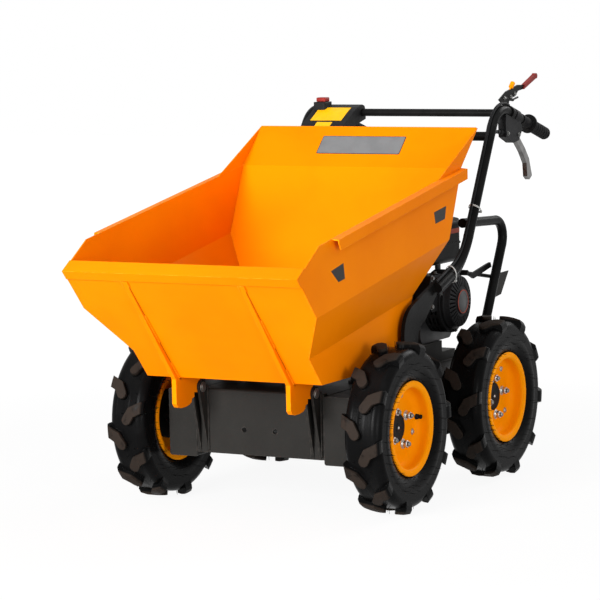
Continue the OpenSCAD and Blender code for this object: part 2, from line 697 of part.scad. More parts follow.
module gear_lever() placed() color(black) difference() {
    union() {
        bar_yz(shift_x - 0.8 * guard_r, [shift_a, shift_b], 0.4 * guard_r, []);
        rod_x(shift_x - 1.1 * guard_r, shift_x, shift_b[0], shift_b[1], 0.7 * guard_r);
        slab_yz(shift_x - 0.8 * guard_r, shift_x - 0.3 * guard_r) polygon([shift_a + guard_r * [0.4,
            -0.5],
            shift_a + guard_r * [2.6, -1.4], shift_a + guard_r * [11.5, 0.2], shift_a + guard_r * [11,
                1.2],
            shift_a + guard_r * [9.4, 1]]);
        slab_yz(eng(0.62), shift_x - 0.4 * guard_r) translate(shift_a) rotate([0, 0, heading([0.75,
            0.97])])
            translate(guard_r * [-1.5, -0.4]) square(guard_r * [2, 0.8]);
    }
    at_crank() rod_x(eng(1.1), half_track, 0, 0, hood_r + fit);
}

// skip

// heights of a line on the side panels, measured square to the rise from the floor's rear end
function up(h) = h * cos(side_rise);

// outline of a side across its length, drawn in by a wall
function tub_side(t) = let (k = t * tan(atan(skip_step / up(fold_hi_up - fold_lo_up)) / 2)) [
    [skip_x_lo - t, -far],
    [skip_x_lo - t, up(fold_lo_up) + k],
    [skip_x_hi - t, up(fold_hi_up) + k],
    [skip_x_hi - t, far]];

// anything that runs along the rising sides, from a section in X and height
module along_rise() translate([0, floor_y1, floor_z]) rotate([side_rise, 0, 0]) slab_xz(-far,
    far) children();

module inner_tub(t) along_rise()
    polygon(concat(tub_side(t), [for (i = [3 : -1 : 0]) [-tub_side(t)[i][0], tub_side(t)[i][1]]]));

module skip_floor() placed() color(orange) intersection() {
    box([-far, floor_y0 + skip_t, floor_z], [far, floor_y1 - skip_t, floor_z + skip_t]);
    inner_tub(skip_t + seam);
}

front_dir = [-sin(front_lean), cos(front_lean)];
front_out = -[cos(front_lean), sin(front_lean)];
front_foot = [floor_y0, floor_z];
lip = [lip_y, lip_z];
lip_dir = [cos(lip_pitch), sin(lip_pitch)];

module front_sheet() polygon([front_foot, lip, meet(lip, lip_dir, front_foot - front_out * skip_t,
    front_dir),
    meet(front_foot - front_out * skip_t, front_dir, [0, floor_z + skip_t], [1, 0]),
    [floor_y0 + skip_t - seam, floor_z + skip_t], [floor_y0 + skip_t - seam, floor_z]]);

module skip_front() placed() color(orange) intersection() {
    slab_yz(-far, far) front_sheet();
    inner_tub(skip_t + seam);
}

rear_dir = [sin(rear_lean), cos(rear_lean)];
rear_in = left(rear_dir) * skip_t;
flare_dir = [sin(flare_lean), cos(flare_lean)];
flare_in = left(flare_dir) * skip_t;
rear_foot = [floor_y1, floor_z];
flare = [flare_y, flare_z];
rear_top = [top_y, rear_z];

module rear_sheet() polygon([rear_foot, flare, rear_top, rear_top + flare_in,
    meet(rear_foot + rear_in, rear_dir, flare + flare_in, flare_dir),
    meet(rear_foot + rear_in, rear_dir, [0, floor_z + skip_t], [1, 0]),
    [floor_y1 - skip_t + seam, floor_z + skip_t], [floor_y1 - skip_t + seam, floor_z]]);

module skip_rear() placed() color(orange) intersection() {
    slab_yz(-far, far) rear_sheet();
    inner_tub(skip_t + seam);
}

// height of the rim, and its front end where the lip's slope meets it
function rim_at(y) = floor_z + rim_up + (y - floor_y1) * rise_k;
rim_end = meet(lip, lip_dir, [floor_y1, rim_at(floor_y1)], [1, rise_k]);

module side_sheet() placed() color(orange) intersection() {
    along_rise() polygon(concat(
        [[skip_x_lo, -far], [skip_x_lo, up(fold_lo_up)], [skip_x_hi, up(fold_hi_up)], [skip_x_hi,
        up(rim_up)]],
        [[skip_x_hi - skip_t, up(rim_up)]], [for (i = [2 : -1 : 0]) tub_side(skip_t)[i]]));
    slab_yz(0, far) polygon([front_foot, rear_foot, flare, [flare_y, far], [rim_end[0], far], rim_end,
        lip]);
}

module skip_left() side_sheet();

module skip_right() mirror([1, 0, 0]) side_sheet();

// angle over the front edge, d out from the sheets
function lip_corner(d) = meet(lip + front_out * d, front_dir, lip + left(lip_dir) * d, lip_dir);

module front_lip() placed() color(orange) slab_yz(-skip_x_hi, skip_x_hi) let (a = seam,
    b = seam + skip_t) polygon([
    lip_corner(a), lip + front_out * a - front_dir * lip_leg, lip + front_out * b - front_dir * lip_leg,
    lip_corner(b), lip + left(lip_dir) * b + lip_dir * lip_top,
        lip + left(lip_dir) * a + lip_dir * lip_top]);

// outline of an ear from the pivot, in its reach and drop
ear_pts = [[-1, 1.1], [-1, -0.69], [-0.93, -0.91], [-0.805, -1], [-0.6, -0.99], [-0.45, -0.91], [-0.37,
    -0.79],
    [-0.345, -0.59], [-0.25, -0.52], [-0.25, -0.25], [0, -0.345]];
rib_l = lip_up / cos(front_lean) - lip_leg - skip_t;

module front_ribs() placed() color(orange) both() difference() {
    slab_yz(ear_x - ear_t / 2, ear_x + ear_t / 2) {
        polygon([front_foot + front_out * seam, front_foot + front_out * seam + front_dir * rib_l,
            front_foot + front_out * (ear_t / 6) + front_dir * rib_l,
                front_foot + front_out * (1.15 * ear_t)]);
        difference() {
            polygon(concat([for (p = ear_pts) [pivot_y + p[0] * ear_l, pivot_z + p[1] * ear_drop]],
                [[pivot_y, floor_z - seam], [floor_y0, floor_z - seam], front_foot + front_out * seam,
                front_foot + front_out * (1.15 * ear_t)]));
            polygon([front_foot + front_out * seam - front_dir * ear_t,
                front_foot + front_out * seam + front_dir * ear_l,
                front_foot + [ear_l, ear_l]]);
        }
        translate([pivot_y, pivot_z]) circle(r = 1.75 * pin_r);
    }
    rod_x(0, half_track, pivot_y, pivot_z, pin_r + run);
}

module rim_hems() placed() color(orange) both() intersection() {
    along_rise() let (x = skip_x_hi, z = up(rim_up), t = skip_t) polygon([[x + seam, z], [x + hem_out,
        z - t / 2],
        [x + hem_out, z - hem_h], [x + hem_out - t, z - hem_h], [x + hem_out - t, z - 1.5 * t],
        [x + seam, z - t]]);
    slab_yz(0, far) let (y = lip_y + hem_set) polygon([[y + hem_h, rim_at(y) - 2 * hem_h],
        [flare_y, rim_at(y) - 2 * hem_h], [flare_y, far], [y, far], [y, rim_at(y) - hem_h / 3]]);
}

module wing_plates() placed() color(orange) both() slab_yz(skip_x_hi - skip_t, skip_x_hi)
    polygon([[flare_y - wing_l, rim_at(flare_y - wing_l) + seam], rear_top, [flare_y,
        rim_at(flare_y) + seam]]);

// wheels

module at_wheel(side, end) translate([side * half_track, end * wheel_y, tyre_r])
    mirror([side < 0 ? 1 : 0, 0, 0]) children();

// turns a section drawn as radius and outward set about the wheel's axis
module wheel_turned() rotate([0, 90, 0]) rotate_extrude() children();

bead_r = seat_r + fit;
casing_r = min((tyre_r - lug_h - bead_r) / 2, tyre_w / 2 - bead);
belly_r = bead_r + casing_r;
belly_s = tyre_w / 2 - casing_r;
// round shoulder of the casing, set a little inside its belly
crown_r = tyre_r - lug_h - bead;
shoulder_r = 0.45 * casing_r;
shoulder_s = tyre_w / 2 - shoulder_r - 2 * bead;

module casing_section() difference() {
    union() {
        for (s = [-1, 1]) translate([belly_r, s * belly_s]) circle(r = casing_r);
        translate([belly_r - casing_r, -abs(belly_s)]) square([2 * casing_r, 2 * abs(belly_s)]);
        for (s = [-1, 1]) translate([crown_r - shoulder_r, s * shoulder_s]) circle(r = shoulder_r);
        translate([belly_r, -shoulder_s - shoulder_r + bead])
            square([crown_r - shoulder_r - belly_r, 2 * (shoulder_s + shoulder_r - bead)]);
        translate([belly_r, -shoulder_s]) square([crown_r - bead - belly_r, 2 * shoulder_s]);
    }
    translate([0, -tyre_w]) square([bead_r, 2 * tyre_w]);
    for (s = [0, 1]) mirror([0, s]) translate([0, rim_w / 2 - rim_t - fit])
        square([seat_r + flange_h + fit, tyre_w]);
}

// half outline of the lugs in radius and set, from inside the casing
lug_edge = [[belly_r - 0.3 * casing_r, 0.4 * casing_r], [belly_r + 0.15 * casing_r,
    belly_s + 0.9 * casing_r],
    [tyre_r - 1.6 * lug_h, lug_span / 2], [tyre_r - 0.9 * lug_h, lug_span / 2],
    [tyre_r - 0.25 * lug_h, 0.45 * lug_span], [tyre_r, 0.3 * lug_span]];

// one bent lug with a round nose, drawn flat as set and distance along the tread
lug_nose = lug_w * [0.36, -0.62];
lug_knee = lug_w * [0.8, 0.12];
lug_end = [0.56 * lug_span, 0.75 * lug_w];
nose_dir = unit(lug_knee - lug_nose);
end_dir = unit(lug_end - lug_knee);
nose_side = left(nose_dir) * (0.46 * lug_w);
end_side = left(end_dir) * (0.5 * lug_w);

module lug_plan() polygon(concat(
    arc(lug_nose, 0.46 * lug_w, heading(nose_dir) + 90, heading(nose_dir) + 270, 6),
    [meet(lug_nose - nose_side, nose_dir, lug_end - end_side, end_dir), lug_end - end_side,
    lug_end + end_side],
    [meet(lug_nose + nose_side, nose_dir, lug_end + end_side, end_dir)]));

module lugs(phase) intersection() {
    wheel_turned() polygon(concat(lug_edge, [for (i = [5 : -1 : 0]) [lug_edge[i][0], -lug_edge[i][1]]]));
    for (i = [0 : lug_n - 1], s = [0, 1]) rotate([phase + (i + s / 2) * 360 / lug_n, 0, 0]) mirror([s,
        0, 0])
        translate([0, 0, belly_r - 0.1 * casing_r])
            linear_extrude(height = tyre_r - belly_r + casing_r) lug_plan();
}

module tyre(side, end) placed() color(black) at_wheel(side, end) {
    wheel_turned() casing_section();
    lugs(end < 0 ? 100 : 88);
}

// section of a rim: a barrel with two flanges and a dished disc
rim_in = seat_r - rim_t;
roll = [rim_in - dish_r, disc_set + rim_t + dish_r];
rim_edge = [[rim_in, rim_w / 2 - 2.2 * rim_t], [rim_in + 0.2 * rim_t, rim_w / 2 - 1.2 * rim_t],
    [rim_in + 0.75 * rim_t, rim_w / 2 - 0.5 * rim_t], [rim_in + 1.7 * rim_t, rim_w / 2 - 0.1 * rim_t],
    [rim_in + 2.6 * rim_t, rim_w / 2], [seat_r + flange_h - 0.4 * rim_t, rim_w / 2],
    [seat_r + flange_h, rim_w / 2 - 0.4 * rim_t], [seat_r + flange_h, rim_w / 2 - rim_t],
    [seat_r, rim_w / 2 - rim_t]];

module rim(side, end) placed() color(orange) at_wheel(side, end) wheel_turned() polygon(concat(
    rim_edge,
    [for (i = [len(rim_edge) - 1 : -1 : 0]) [rim_edge[i][0], -rim_edge[i][1]]],
    arc(roll, dish_r + rim_t, -acos(dish_r / (dish_r + rim_t)), -90, 5),
    [[cap_r + fit, disc_set], [cap_r + fit, disc_set + rim_t]],
    arc(roll, dish_r, -90, 0, 8)));

hub_in = case_out + stub_l + hub_gap - half_track;

module hub(side, end) placed() color(black) at_wheel(side, end) {
    rod_x(disc_set - 2 * rim_t, disc_set - seam, 0, 0, 1.7 * cap_r);
    rod_x(disc_set - 1, disc_set + rim_t / 2, 0, 0, cap_r);
    rod_x(disc_set, disc_set + 1.6 * rim_t, 0, 0, cap_r / 3);
    rod_x(hub_in, disc_set - rim_t, 0, 0, 1.7 * shaft_r);
    rod_x(case_in + 1.5 * shaft_r - half_track, hub_in + 1, 0, 0, shaft_r);
}

// ends of the machine, for its middle
y_front = lip_corner(seam + skip_t)[0];
y_back = grip_end[0] + 0.85 * grip_r * abs(grip_dir[1]);
y_shift = -(y_front + y_back) / 2;

module tyre_fl() tyre(1, -1);
module rim_fl() rim(1, -1);
module hub_fl() hub(1, -1);
module tyre_fr() tyre(-1, -1);
module rim_fr() rim(-1, -1);
module hub_fr() hub(-1, -1);
module tyre_rl() tyre(1, 1);
module rim_rl() rim(1, 1);
module hub_rl() hub(1, 1);
module tyre_rr() tyre(-1, 1);
module rim_rr() rim(-1, 1);
module hub_rr() hub(-1, 1);

drive_cases();
front_plate();
chassis_frame();
pivot_brackets();
pivot_pins();
rest_pads();
gearbox();
engine_block();
engine_shroud();
recoil_starter();
fuel_tank();
air_filter();
muffler();
handles();
rear_guards();
guard_plates();
cross_tubes();
grips();
lever_housing();
lever_blade();
throttle_bracket();
red_controls();
choke_knob();
control_cables();
console();
gear_lever();
skip_floor();
skip_front();
skip_rear();
skip_left();
skip_right();
front_lip();
front_ribs();
rim_hems();
wing_plates();
tyre_fl();
rim_fl();
hub_fl();
tyre_fr();
rim_fr();
hub_fr();
tyre_rl();
rim_rl();
hub_rl();
tyre_rr();
rim_rr();
hub_rr();
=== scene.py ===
"""Finishes, fittings and a studio for a walk-behind wheel dumper with a tipping skip."""

import json
import math
import random

import bmesh
import bpy
from mathutils import Matrix, Vector


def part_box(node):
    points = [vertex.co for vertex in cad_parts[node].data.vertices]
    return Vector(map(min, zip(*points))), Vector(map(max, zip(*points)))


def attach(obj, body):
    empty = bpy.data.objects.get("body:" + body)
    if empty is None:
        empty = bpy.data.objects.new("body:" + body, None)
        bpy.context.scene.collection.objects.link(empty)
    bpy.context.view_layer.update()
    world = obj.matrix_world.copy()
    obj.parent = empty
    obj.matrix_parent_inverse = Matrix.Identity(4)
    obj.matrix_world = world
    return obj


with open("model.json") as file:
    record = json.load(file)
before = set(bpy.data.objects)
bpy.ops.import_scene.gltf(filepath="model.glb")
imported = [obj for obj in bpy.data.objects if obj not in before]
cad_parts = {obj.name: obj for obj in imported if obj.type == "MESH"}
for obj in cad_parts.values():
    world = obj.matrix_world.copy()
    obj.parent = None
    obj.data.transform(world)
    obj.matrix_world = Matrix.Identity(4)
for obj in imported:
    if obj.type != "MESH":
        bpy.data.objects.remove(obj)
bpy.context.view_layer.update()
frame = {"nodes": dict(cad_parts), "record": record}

bl_info = {
    "name": "Wheel dumper dressing",
    "version": (1, 0, 0),
    "blender": (4, 5, 0),
    "location": "3D View > Sidebar > Dumper",
    "description": "Finishes, fittings and studio for a walk-behind wheel dumper",
    "category": "Object",
}

MM = 0.001
WHEELS = ("fl", "fr", "rl", "rr")
OUT = Vector((1, 0, 0))
BACK = Vector((0, 1, 0))
UP = Vector((0, 0, 1))


def middle(node):
    """Middle of a solid's box."""
    low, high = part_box(node)
    return (low + high) / 2


wheel_middle = {w: middle("tyre_" + w) for w in WHEELS}
mid_wheelbase = (wheel_middle["fl"].y + wheel_middle["rl"].y) / 2


def spot(x, y, z):
    """A point given in millimetres from the middle of the wheelbase."""
    return Vector((x * MM, y * MM + mid_wheelbase, z * MM))


def size(name, default, description):
    """A length in metres that the panel shows."""
    return bpy.props.FloatProperty(
        name=name, description=description, default=default, unit="LENGTH", subtype="DISTANCE",
        precision=4)


def number(name, default, description):
    """A plain number that the panel shows."""
    return bpy.props.FloatProperty(name=name, description=description, default=default)


def angle(name, degrees, description):
    """An angle that the panel shows."""
    return bpy.props.FloatProperty(
        name=name, description=description, default=math.radians(degrees), unit="ROTATION",
        subtype="ANGLE")


def colour(name, default, description):
    """A colour that the panel shows."""
    return bpy.props.FloatVectorProperty(
        name=name, description=description, default=default, size=3, min=0, max=1, subtype="COLOR")


class DumperColours(bpy.types.PropertyGroup):
    """Colours of the dumper's finishes"""

    skip_orange: colour("Skip orange", (0.88, 0.225, 0.0), "Paint of the skip")
    rim_orange: colour("Rim orange", (1.0, 0.335, 0.0), "Paint of the rims")
    # painted highlight: the paler orange that the skip and the rims show along their edges
    edge_highlight_orange: colour("Worn orange", (1.0, 0.36, 0.02), "Thin paint along the skip's edges")
    case_grey: colour("Chassis grey", (0.019, 0.0181, 0.0166), "Powder coat of the chassis")
    case_worn: colour("Rubbed grey", (0.09, 0.078, 0.068), "Powder coat rubbed along edges")
    tube_black: colour("Tube black", (0.0065, 0.0065, 0.0065), "Gloss paint of handles and guards")
    tyre_black: colour("Tyre black", (0.003, 0.003, 0.0031), "Rubber of the tyres")
    lug_brown: colour("Lug brown", (0.025, 0.0188, 0.0152), "Dusty tops of the lugs")
    plastic_black: colour("Plastic black", (0.0085, 0.0085, 0.009), "Moulded covers, console and grips")
    cast_grey: colour("Casting grey", (0.03, 0.03, 0.031), "Dark cast parts of the engine")
    steel: colour("Steel", (0.36, 0.35, 0.33), "Plain steel of the muffler and rods")
    zinc: colour("Zinc", (0.62, 0.62, 0.6), "Plated nuts, bolts and rivets")
    alloy: colour("Alloy", (0.2, 0.195, 0.19), "Cast lever blade")
    control_red: colour("Control red", (0.2, 0.018, 0.014), "Rocker switch and throttle lever")
    knob_orange: colour("Knob orange", (0.87, 0.28, 0.0), "Choke knob")
    plate_yellow: colour("Plate yellow", (1.0, 0.5, 0.0), "Bare plates on the console")
    plate_silver: colour("Plate silver", (0.17, 0.173, 0.176), "Bare plate on the rear wall")
    stripe_black: colour("Stripe black", (0.018, 0.018, 0.018), "Film blocks on the skip's sides")
    band_red: colour("Band red", (0.33, 0.045, 0.02), "Band round the tank and ring of the badge")
    tie_pale: colour("Tie grey", (0.5, 0.5, 0.48), "Cable ties")
    # painted shade: the dark orange of thin strips laid in the ribs' open joints
    joint_shade_orange: colour("Gap orange", (0.34, 0.075, 0.002), "Shade in the open joints of the ribs")


class DumperSizes(bpy.types.PropertyGroup):
    """Sizes of the dumper's small fittings"""

    nut_flats: size("Nut flats", 0.017, "Width of a wheel nut across its flats")
    nut_ring: size("Nut ring", 0.049, "Radius of the ring of wheel nuts")
    cover_r: size("Cover radius", 0.034, "Radius of the black cover round a hub")
    stud_reach: size("Stud reach", 0.009, "Length of a stud past its nut")
    rivet_ring: size("Rivet ring", 0.081, "Radius of the ring of rivets")
    rivet_r: size("Rivet radius", 0.0065, "Radius of a rivet's head")
    valve_reach: size("Valve reach", 0.015, "Length of a valve out of the rim")
    hair_l: size("Hair length", 0.015, "Length of a moulding hair on a tyre")
    hair_r: size("Hair radius", 0.0009, "Radius of a moulding hair at its root")
    weld_r: size("Weld radius", 0.0026, "Radius of a weld bead")
    weld_pitch: size("Weld pitch", 0.0035, "Pitch of a weld's ripples")
    film_t: size("Film thickness", 0.0005, "Thickness of film blocks and bare plates")
    tie_w: size("Tie width", 0.0045, "Width of a cable tie")
    screw_flats: size("Screw flats", 0.01, "Width of a small screw across its flats")


class DumperStudio(bpy.types.PropertyGroup):
    """Camera and lamps"""

    azimuth: angle("Azimuth", 28.577, "Turn of the view round the machine")
    elevation: angle("Elevation", 6.4001, "Height of the view over the horizon")
    roll: angle("Roll", -1.1608, "Turn of the picture")
    distance: size("Distance", 7.199, "Camera from the middle of the wheelbase")
    across: size("Across", -0.0738, "Camera's step to its right")
    above: size("Above", 0.478, "Camera's step up")
    lens: number("Lens", 169.235, "Focal length in millimetres on a 36 mm sensor")
    shift_x: number("Shift across", -0.00724, "Shift of the picture across")
    shift_y: number("Shift up", -0.00411, "Shift of the picture up")
    key_watts: number("Key lamp", 640.0, "Power of the large lamp at the front")
    fill_watts: number("Fill lamp", 115.0, "Power of the lamp at the side")
    rear_watts: number("Rear lamp", 130.0, "Power of the lamp behind")
    sky: number("Sky", 0.45, "Even light from all round")


# shader expressions

PLASTIC_DUST = (0.12, 0.11, 0.1)
RUBBER_DUST = (0.045, 0.042, 0.04)


def scaled(plain, factor):
    """A colour made darker or lighter."""
    return tuple(v * factor for v in plain)


def put(tree, socket, value):
    """Links a value to a socket, or sets it."""
    if isinstance(value, Value):
        tree.links.new(value.socket, socket)
    elif hasattr(value, "__len__"):
        value = tuple(value)
        socket.default_value = value + (1.0,) if socket.type == "RGBA" and len(value) == 3 else value
    else:
        socket.default_value = value


class Value:
    """A socket that takes part in Python sums, each of which adds a Math node."""

    def __init__(self, tree, socket):
        self.tree = tree
        self.socket = socket

    def math(self, operation, a, b):
        """Adds a Math node."""
        node = self.tree.nodes.new("ShaderNodeMath")
        node.operation = operation
        put(self.tree, node.inputs[0], a)
        put(self.tree, node.inputs[1], b)
        return Value(self.tree, node.outputs[0])

    def __add__(self, other):
        return self.math("ADD", self, other)

    def __radd__(self, other):
        return self.math("ADD", other, self)

    def __sub__(self, other):
        return self.math("SUBTRACT", self, other)

    def __rsub__(self, other):
        return self.math("SUBTRACT", other, self)

    def __mul__(self, other):
        return self.math("MULTIPLY", self, other)

    def __rmul__(self, other):
        return self.math("MULTIPLY", other, self)


class Finish:
    """A procedural material, with its nodes written as expressions."""

    def __init__(self, name, **constants):
        self.material = bpy.data.materials.new(name)
        self.material.use_nodes = True
        self.tree = self.material.node_tree
        self.shader = self.tree.nodes["Principled BSDF"]
        self.set(**constants)
        self.place = self.node("TexCoord", output="Object")

    def node(self, kind, settings=(), sockets=(), output=0):
        """Adds any node: its settings are set first, then its sockets are set or linked."""
        made = self.tree.nodes.new("ShaderNode" + kind)
        for key, value in dict(settings).items():
            setattr(made, key, value)
        for key, value in dict(sockets).items():
            put(self.tree, made.inputs[key], value)
        return Value(self.tree, made.outputs[output])

    def set(self, **sockets):
        """Sets or links sockets of the shader, with _ for each space of a name."""
        for key, value in sockets.items():
            put(self.tree, self.shader.inputs[key.replace("_", " ")], value)

    def noise(self, scale, detail=3.0, roughness=0.55, place=None):
        """Noise over the piece, from 0 to 1."""
        return self.node("TexNoise", {}, {
            "Vector": place or self.place, "Scale": scale, "Detail": detail, "Roughness": roughness})

    def step(self, value, low, high):
        """A smooth step from 0 to 1."""
        return self.node("MapRange", {"interpolation_type": "SMOOTHSTEP"}, {
            "Value": value, "From Min": low, "From Max": high})

    def blend(self, share, a, b):
        """A mix of two colours."""
        return self.node("Mix", {"data_type": "RGBA"}, {0: share, 6: a, 7: b}, output=2)

    def bump(self, height, strength, distance, rounded=None):
        """A normal bent by a height, on a rounded one if given."""
        sockets = {"Height": height, "Strength": strength, "Distance": distance}
        if rounded is not None:
            sockets["Normal"] = rounded
        return self.node("Bump", {}, sockets)

    def rounded(self, radius):
        """A normal rounded over sharp edges."""
        return self.node("Bevel", {"samples": 4}, {"Radius": radius})

    def edges(self, radius):
        """A mask along sharp edges, where the rounded normal leans off the true one."""
        normals = {0: self.rounded(radius), 1: self.node("NewGeometry", output="Normal")}
        lean = self.node("VectorMath", {"operation": "DOT_PRODUCT"}, normals, "Value")
        return self.step(1.0 - lean, 0.02, 0.2)

    def from_axis(self, centre):
        """Distance from a wheel's axis, and the set along it."""
        sockets = {"Vector": self.place, "Location": tuple(-centre)}
        moved = self.node("Mapping", {"vector_type": "POINT"}, sockets)
        flat = self.node("VectorMath", {"operation": "MULTIPLY"}, {0: moved, 1: (0.0, 1.0, 1.0)})
        return self.node("VectorMath", {"operation": "LENGTH"}, {0: flat}, "Value"), moved


def orange_paint(name, plain, accent_colour):
    """Even paint with a slight peel, and a painted highlight of paler orange in patches along its edges."""
    f = Finish(name, Specular_IOR_Level=0.02)
    cloud = f.noise(3.1, 4.0)
    speck = f.noise(160.0, 2.0)
    deep = tuple(v * s for v, s in zip(plain, (0.94, 0.86, 1.0)))
    base = f.blend(f.step(cloud, 0.35, 0.7), plain, deep)
    base = f.blend(f.step(speck, 0.62, 0.8) * 0.18, base, deep)
    # painted highlight: patches along sharp edges turn a paler orange
    edge_patches = f.edges(0.0035) * f.step(f.noise(55.0, 5.0), 0.42, 0.62)
    f.set(Base_Color=f.blend(edge_patches * 0.7, base, accent_colour))
    f.set(Roughness=0.36 + 0.1 * f.noise(24.0) + 0.1 * edge_patches)
    peel = f.noise(620.0, 2.0) * 0.5 + f.noise(9.0, 1.0) * 0.9
    f.set(Normal=f.bump(peel, 0.07, 0.002, f.rounded(0.0016)))
    return f.material


def powder_coat(name, plain, accent_colour, rough, wear):
    """Grainy powder coat, rubbed along its edges."""
    f = Finish(name, Specular_IOR_Level=0.06)
    grain = f.noise(900.0, 2.0)
    base = f.blend(f.step(f.noise(6.0, 5.0), 0.3, 0.75), plain, scaled(plain, 0.72))
    base = f.blend(f.step(grain, 0.6, 0.78) * 0.45, base, accent_colour)
    edge_patches = f.edges(0.0035) * f.step(f.noise(70.0, 5.0), 0.4, 0.64)
    f.set(Base_Color=f.blend(edge_patches * wear, base, accent_colour))
    f.set(Roughness=rough + 0.16 * f.noise(30.0) - 0.06 * edge_patches)
    f.set(Normal=f.bump(grain, 0.12, 0.0012, f.rounded(0.0015)))
    return f.material


def gloss_paint(name, plain, accent_colour, rough=0.2):
    """Smooth paint with some dust."""
    f = Finish(name, Specular_IOR_Level=0.03)
    base = f.blend(f.step(f.noise(14.0, 4.0), 0.35, 0.75), plain, scaled(plain, 1.8))
    dust = f.step(f.noise(210.0, 4.0), 0.66, 0.8) * 0.3
    edge_patches = f.edges(0.003) * f.step(f.noise(80.0, 5.0), 0.45, 0.62)
    f.set(Base_Color=f.blend(0.5 * dust + 0.2 * edge_patches, base, accent_colour))
    f.set(Roughness=rough + 0.2 * f.noise(26.0) * f.noise(4.0) + 0.3 * dust)
    f.set(Normal=f.bump(f.noise(480.0, 2.0), 0.05, 0.0015, f.rounded(0.0012)))
    return f.material


def moulded(name, plain, rough=0.46, grain_scale=1100.0, strength=0.2):
    """Plastic with a moulded grain."""
    f = Finish(name, Specular_IOR_Level=0.08)
    pale = tuple(min(1.0, v * 1.5 + 0.001) for v in plain)
    base = f.blend(f.step(f.noise(17.0, 4.0), 0.35, 0.75), plain, pale)
    dust = f.step(f.noise(260.0, 4.0), 0.64, 0.82) * 0.16
    f.set(Base_Color=f.blend(dust, base, PLASTIC_DUST))
    f.set(Roughness=rough + 0.16 * f.noise(40.0))
    cells = f.node("TexVoronoi", {}, {"Vector": f.place, "Scale": grain_scale})
    f.set(Normal=f.bump(cells, strength, 0.0006, f.rounded(0.0016)))
    return f.material


def tyre_rubber(c, wheel):
    """A tyre's rubber: dusty lug tops and fine rings low on the walls."""
    f = Finish("tyre_rubber_" + wheel, Specular_IOR_Level=0.03)
    radius, moved = f.from_axis(wheel_middle[wheel])
    low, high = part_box("tyre_" + wheel)
    reach = (high - low).z / 2
    dust = f.noise(34.0, 6.0, 0.65, moved)
    lug_top = f.step(radius, reach - 0.0085, reach - 0.0035)
    rubbed = lug_top * f.step(dust, 0.22, 0.5)
    bloom = f.step(f.noise(11.0, 5.0, 0.6, moved), 0.42, 0.72)
    base = f.blend(bloom * 0.55, c.tyre_black, scaled(c.tyre_black, 2.1))
    f.set(Base_Color=f.blend(rubbed * 0.9, base, c.lug_brown))
    f.set(Roughness=0.19 + 0.14 * bloom + 0.34 * rubbed + 0.08 * dust)
    rings = f.node("Math", {"operation": "SINE"}, {0: radius * 2600.0})
    low_wall = 1.0 - f.step(radius, 0.128, 0.134)
    skin = f.noise(420.0, 3.0, 0.6, moved) * 0.6 + rings * low_wall * 0.25
    f.set(Normal=f.bump(skin, 0.22, 0.0012, f.rounded(0.0028)))
    return f.material


def soft_rubber(c):
    """Rubber with fine pimples and some dust."""
    f = Finish("black_rubber", Specular_IOR_Level=0.05)
    dust = f.noise(60.0, 5.0)
    f.set(Base_Color=f.blend(f.step(dust, 0.4, 0.75) * 0.5, c.plastic_black, RUBBER_DUST))
    f.set(Roughness=0.58 + 0.2 * dust)
    pimples = f.node("TexVoronoi", {}, {"Vector": f.place, "Scale": 620.0})
    f.set(Normal=f.bump(pimples, 0.35, 0.0008, f.rounded(0.001)))
    return f.material


def bare_metal(name, plain, rough, streak=(1.0, 1.0, 1.0), tarnish=0.35):
    """Metal with marks and stains."""
    f = Finish(name, Metallic=1.0)
    along = f.node("Mapping", {"vector_type": "POINT"}, {"Vector": f.place, "Scale": streak})
    marks = f.noise(90.0, 5.0, 0.65, along)
    stain = f.step(f.noise(42.0, 5.0), 0.4, 0.75)
    f.set(Base_Color=f.blend(stain * tarnish, plain, scaled(plain, 0.42)))
    f.set(Roughness=rough + 0.24 * marks + 0.1 * stain)
    f.set(Normal=f.bump(marks, 0.12, 0.0008, f.rounded(0.0008)))
    return f.material


def casting(c):
    """Dark sand casting with oil stains."""
    f = Finish("engine_casting", Metallic=0.35)
    sand = f.noise(380.0, 4.0, 0.7)
    oil = f.step(f.noise(16.0, 5.0), 0.45, 0.7)
    f.set(Base_Color=f.blend(oil * 0.6, c.cast_grey, scaled(c.cast_grey, 0.5)))
    f.set(Roughness=0.46 + 0.2 * sand - 0.12 * oil)
    f.set(Normal=f.bump(sand, 0.3, 0.0012, f.rounded(0.0014)))
    return f.material


def film(name, plain, rough, tone):
    """Thin film or bare plate with slight clouds."""
    f = Finish(name, Specular_IOR_Level=0.15)
    cloud = f.noise(30.0, 4.0)
    f.set(Base_Color=f.blend(f.step(cloud, 0.35, 0.72), plain, scaled(plain, tone)))
    f.set(Roughness=rough + 0.18 * f.noise(75.0, 4.0))
    f.set(Normal=f.bump(f.noise(300.0, 2.0), 0.06, 0.0006))
    return f.material


FINISHES = {}


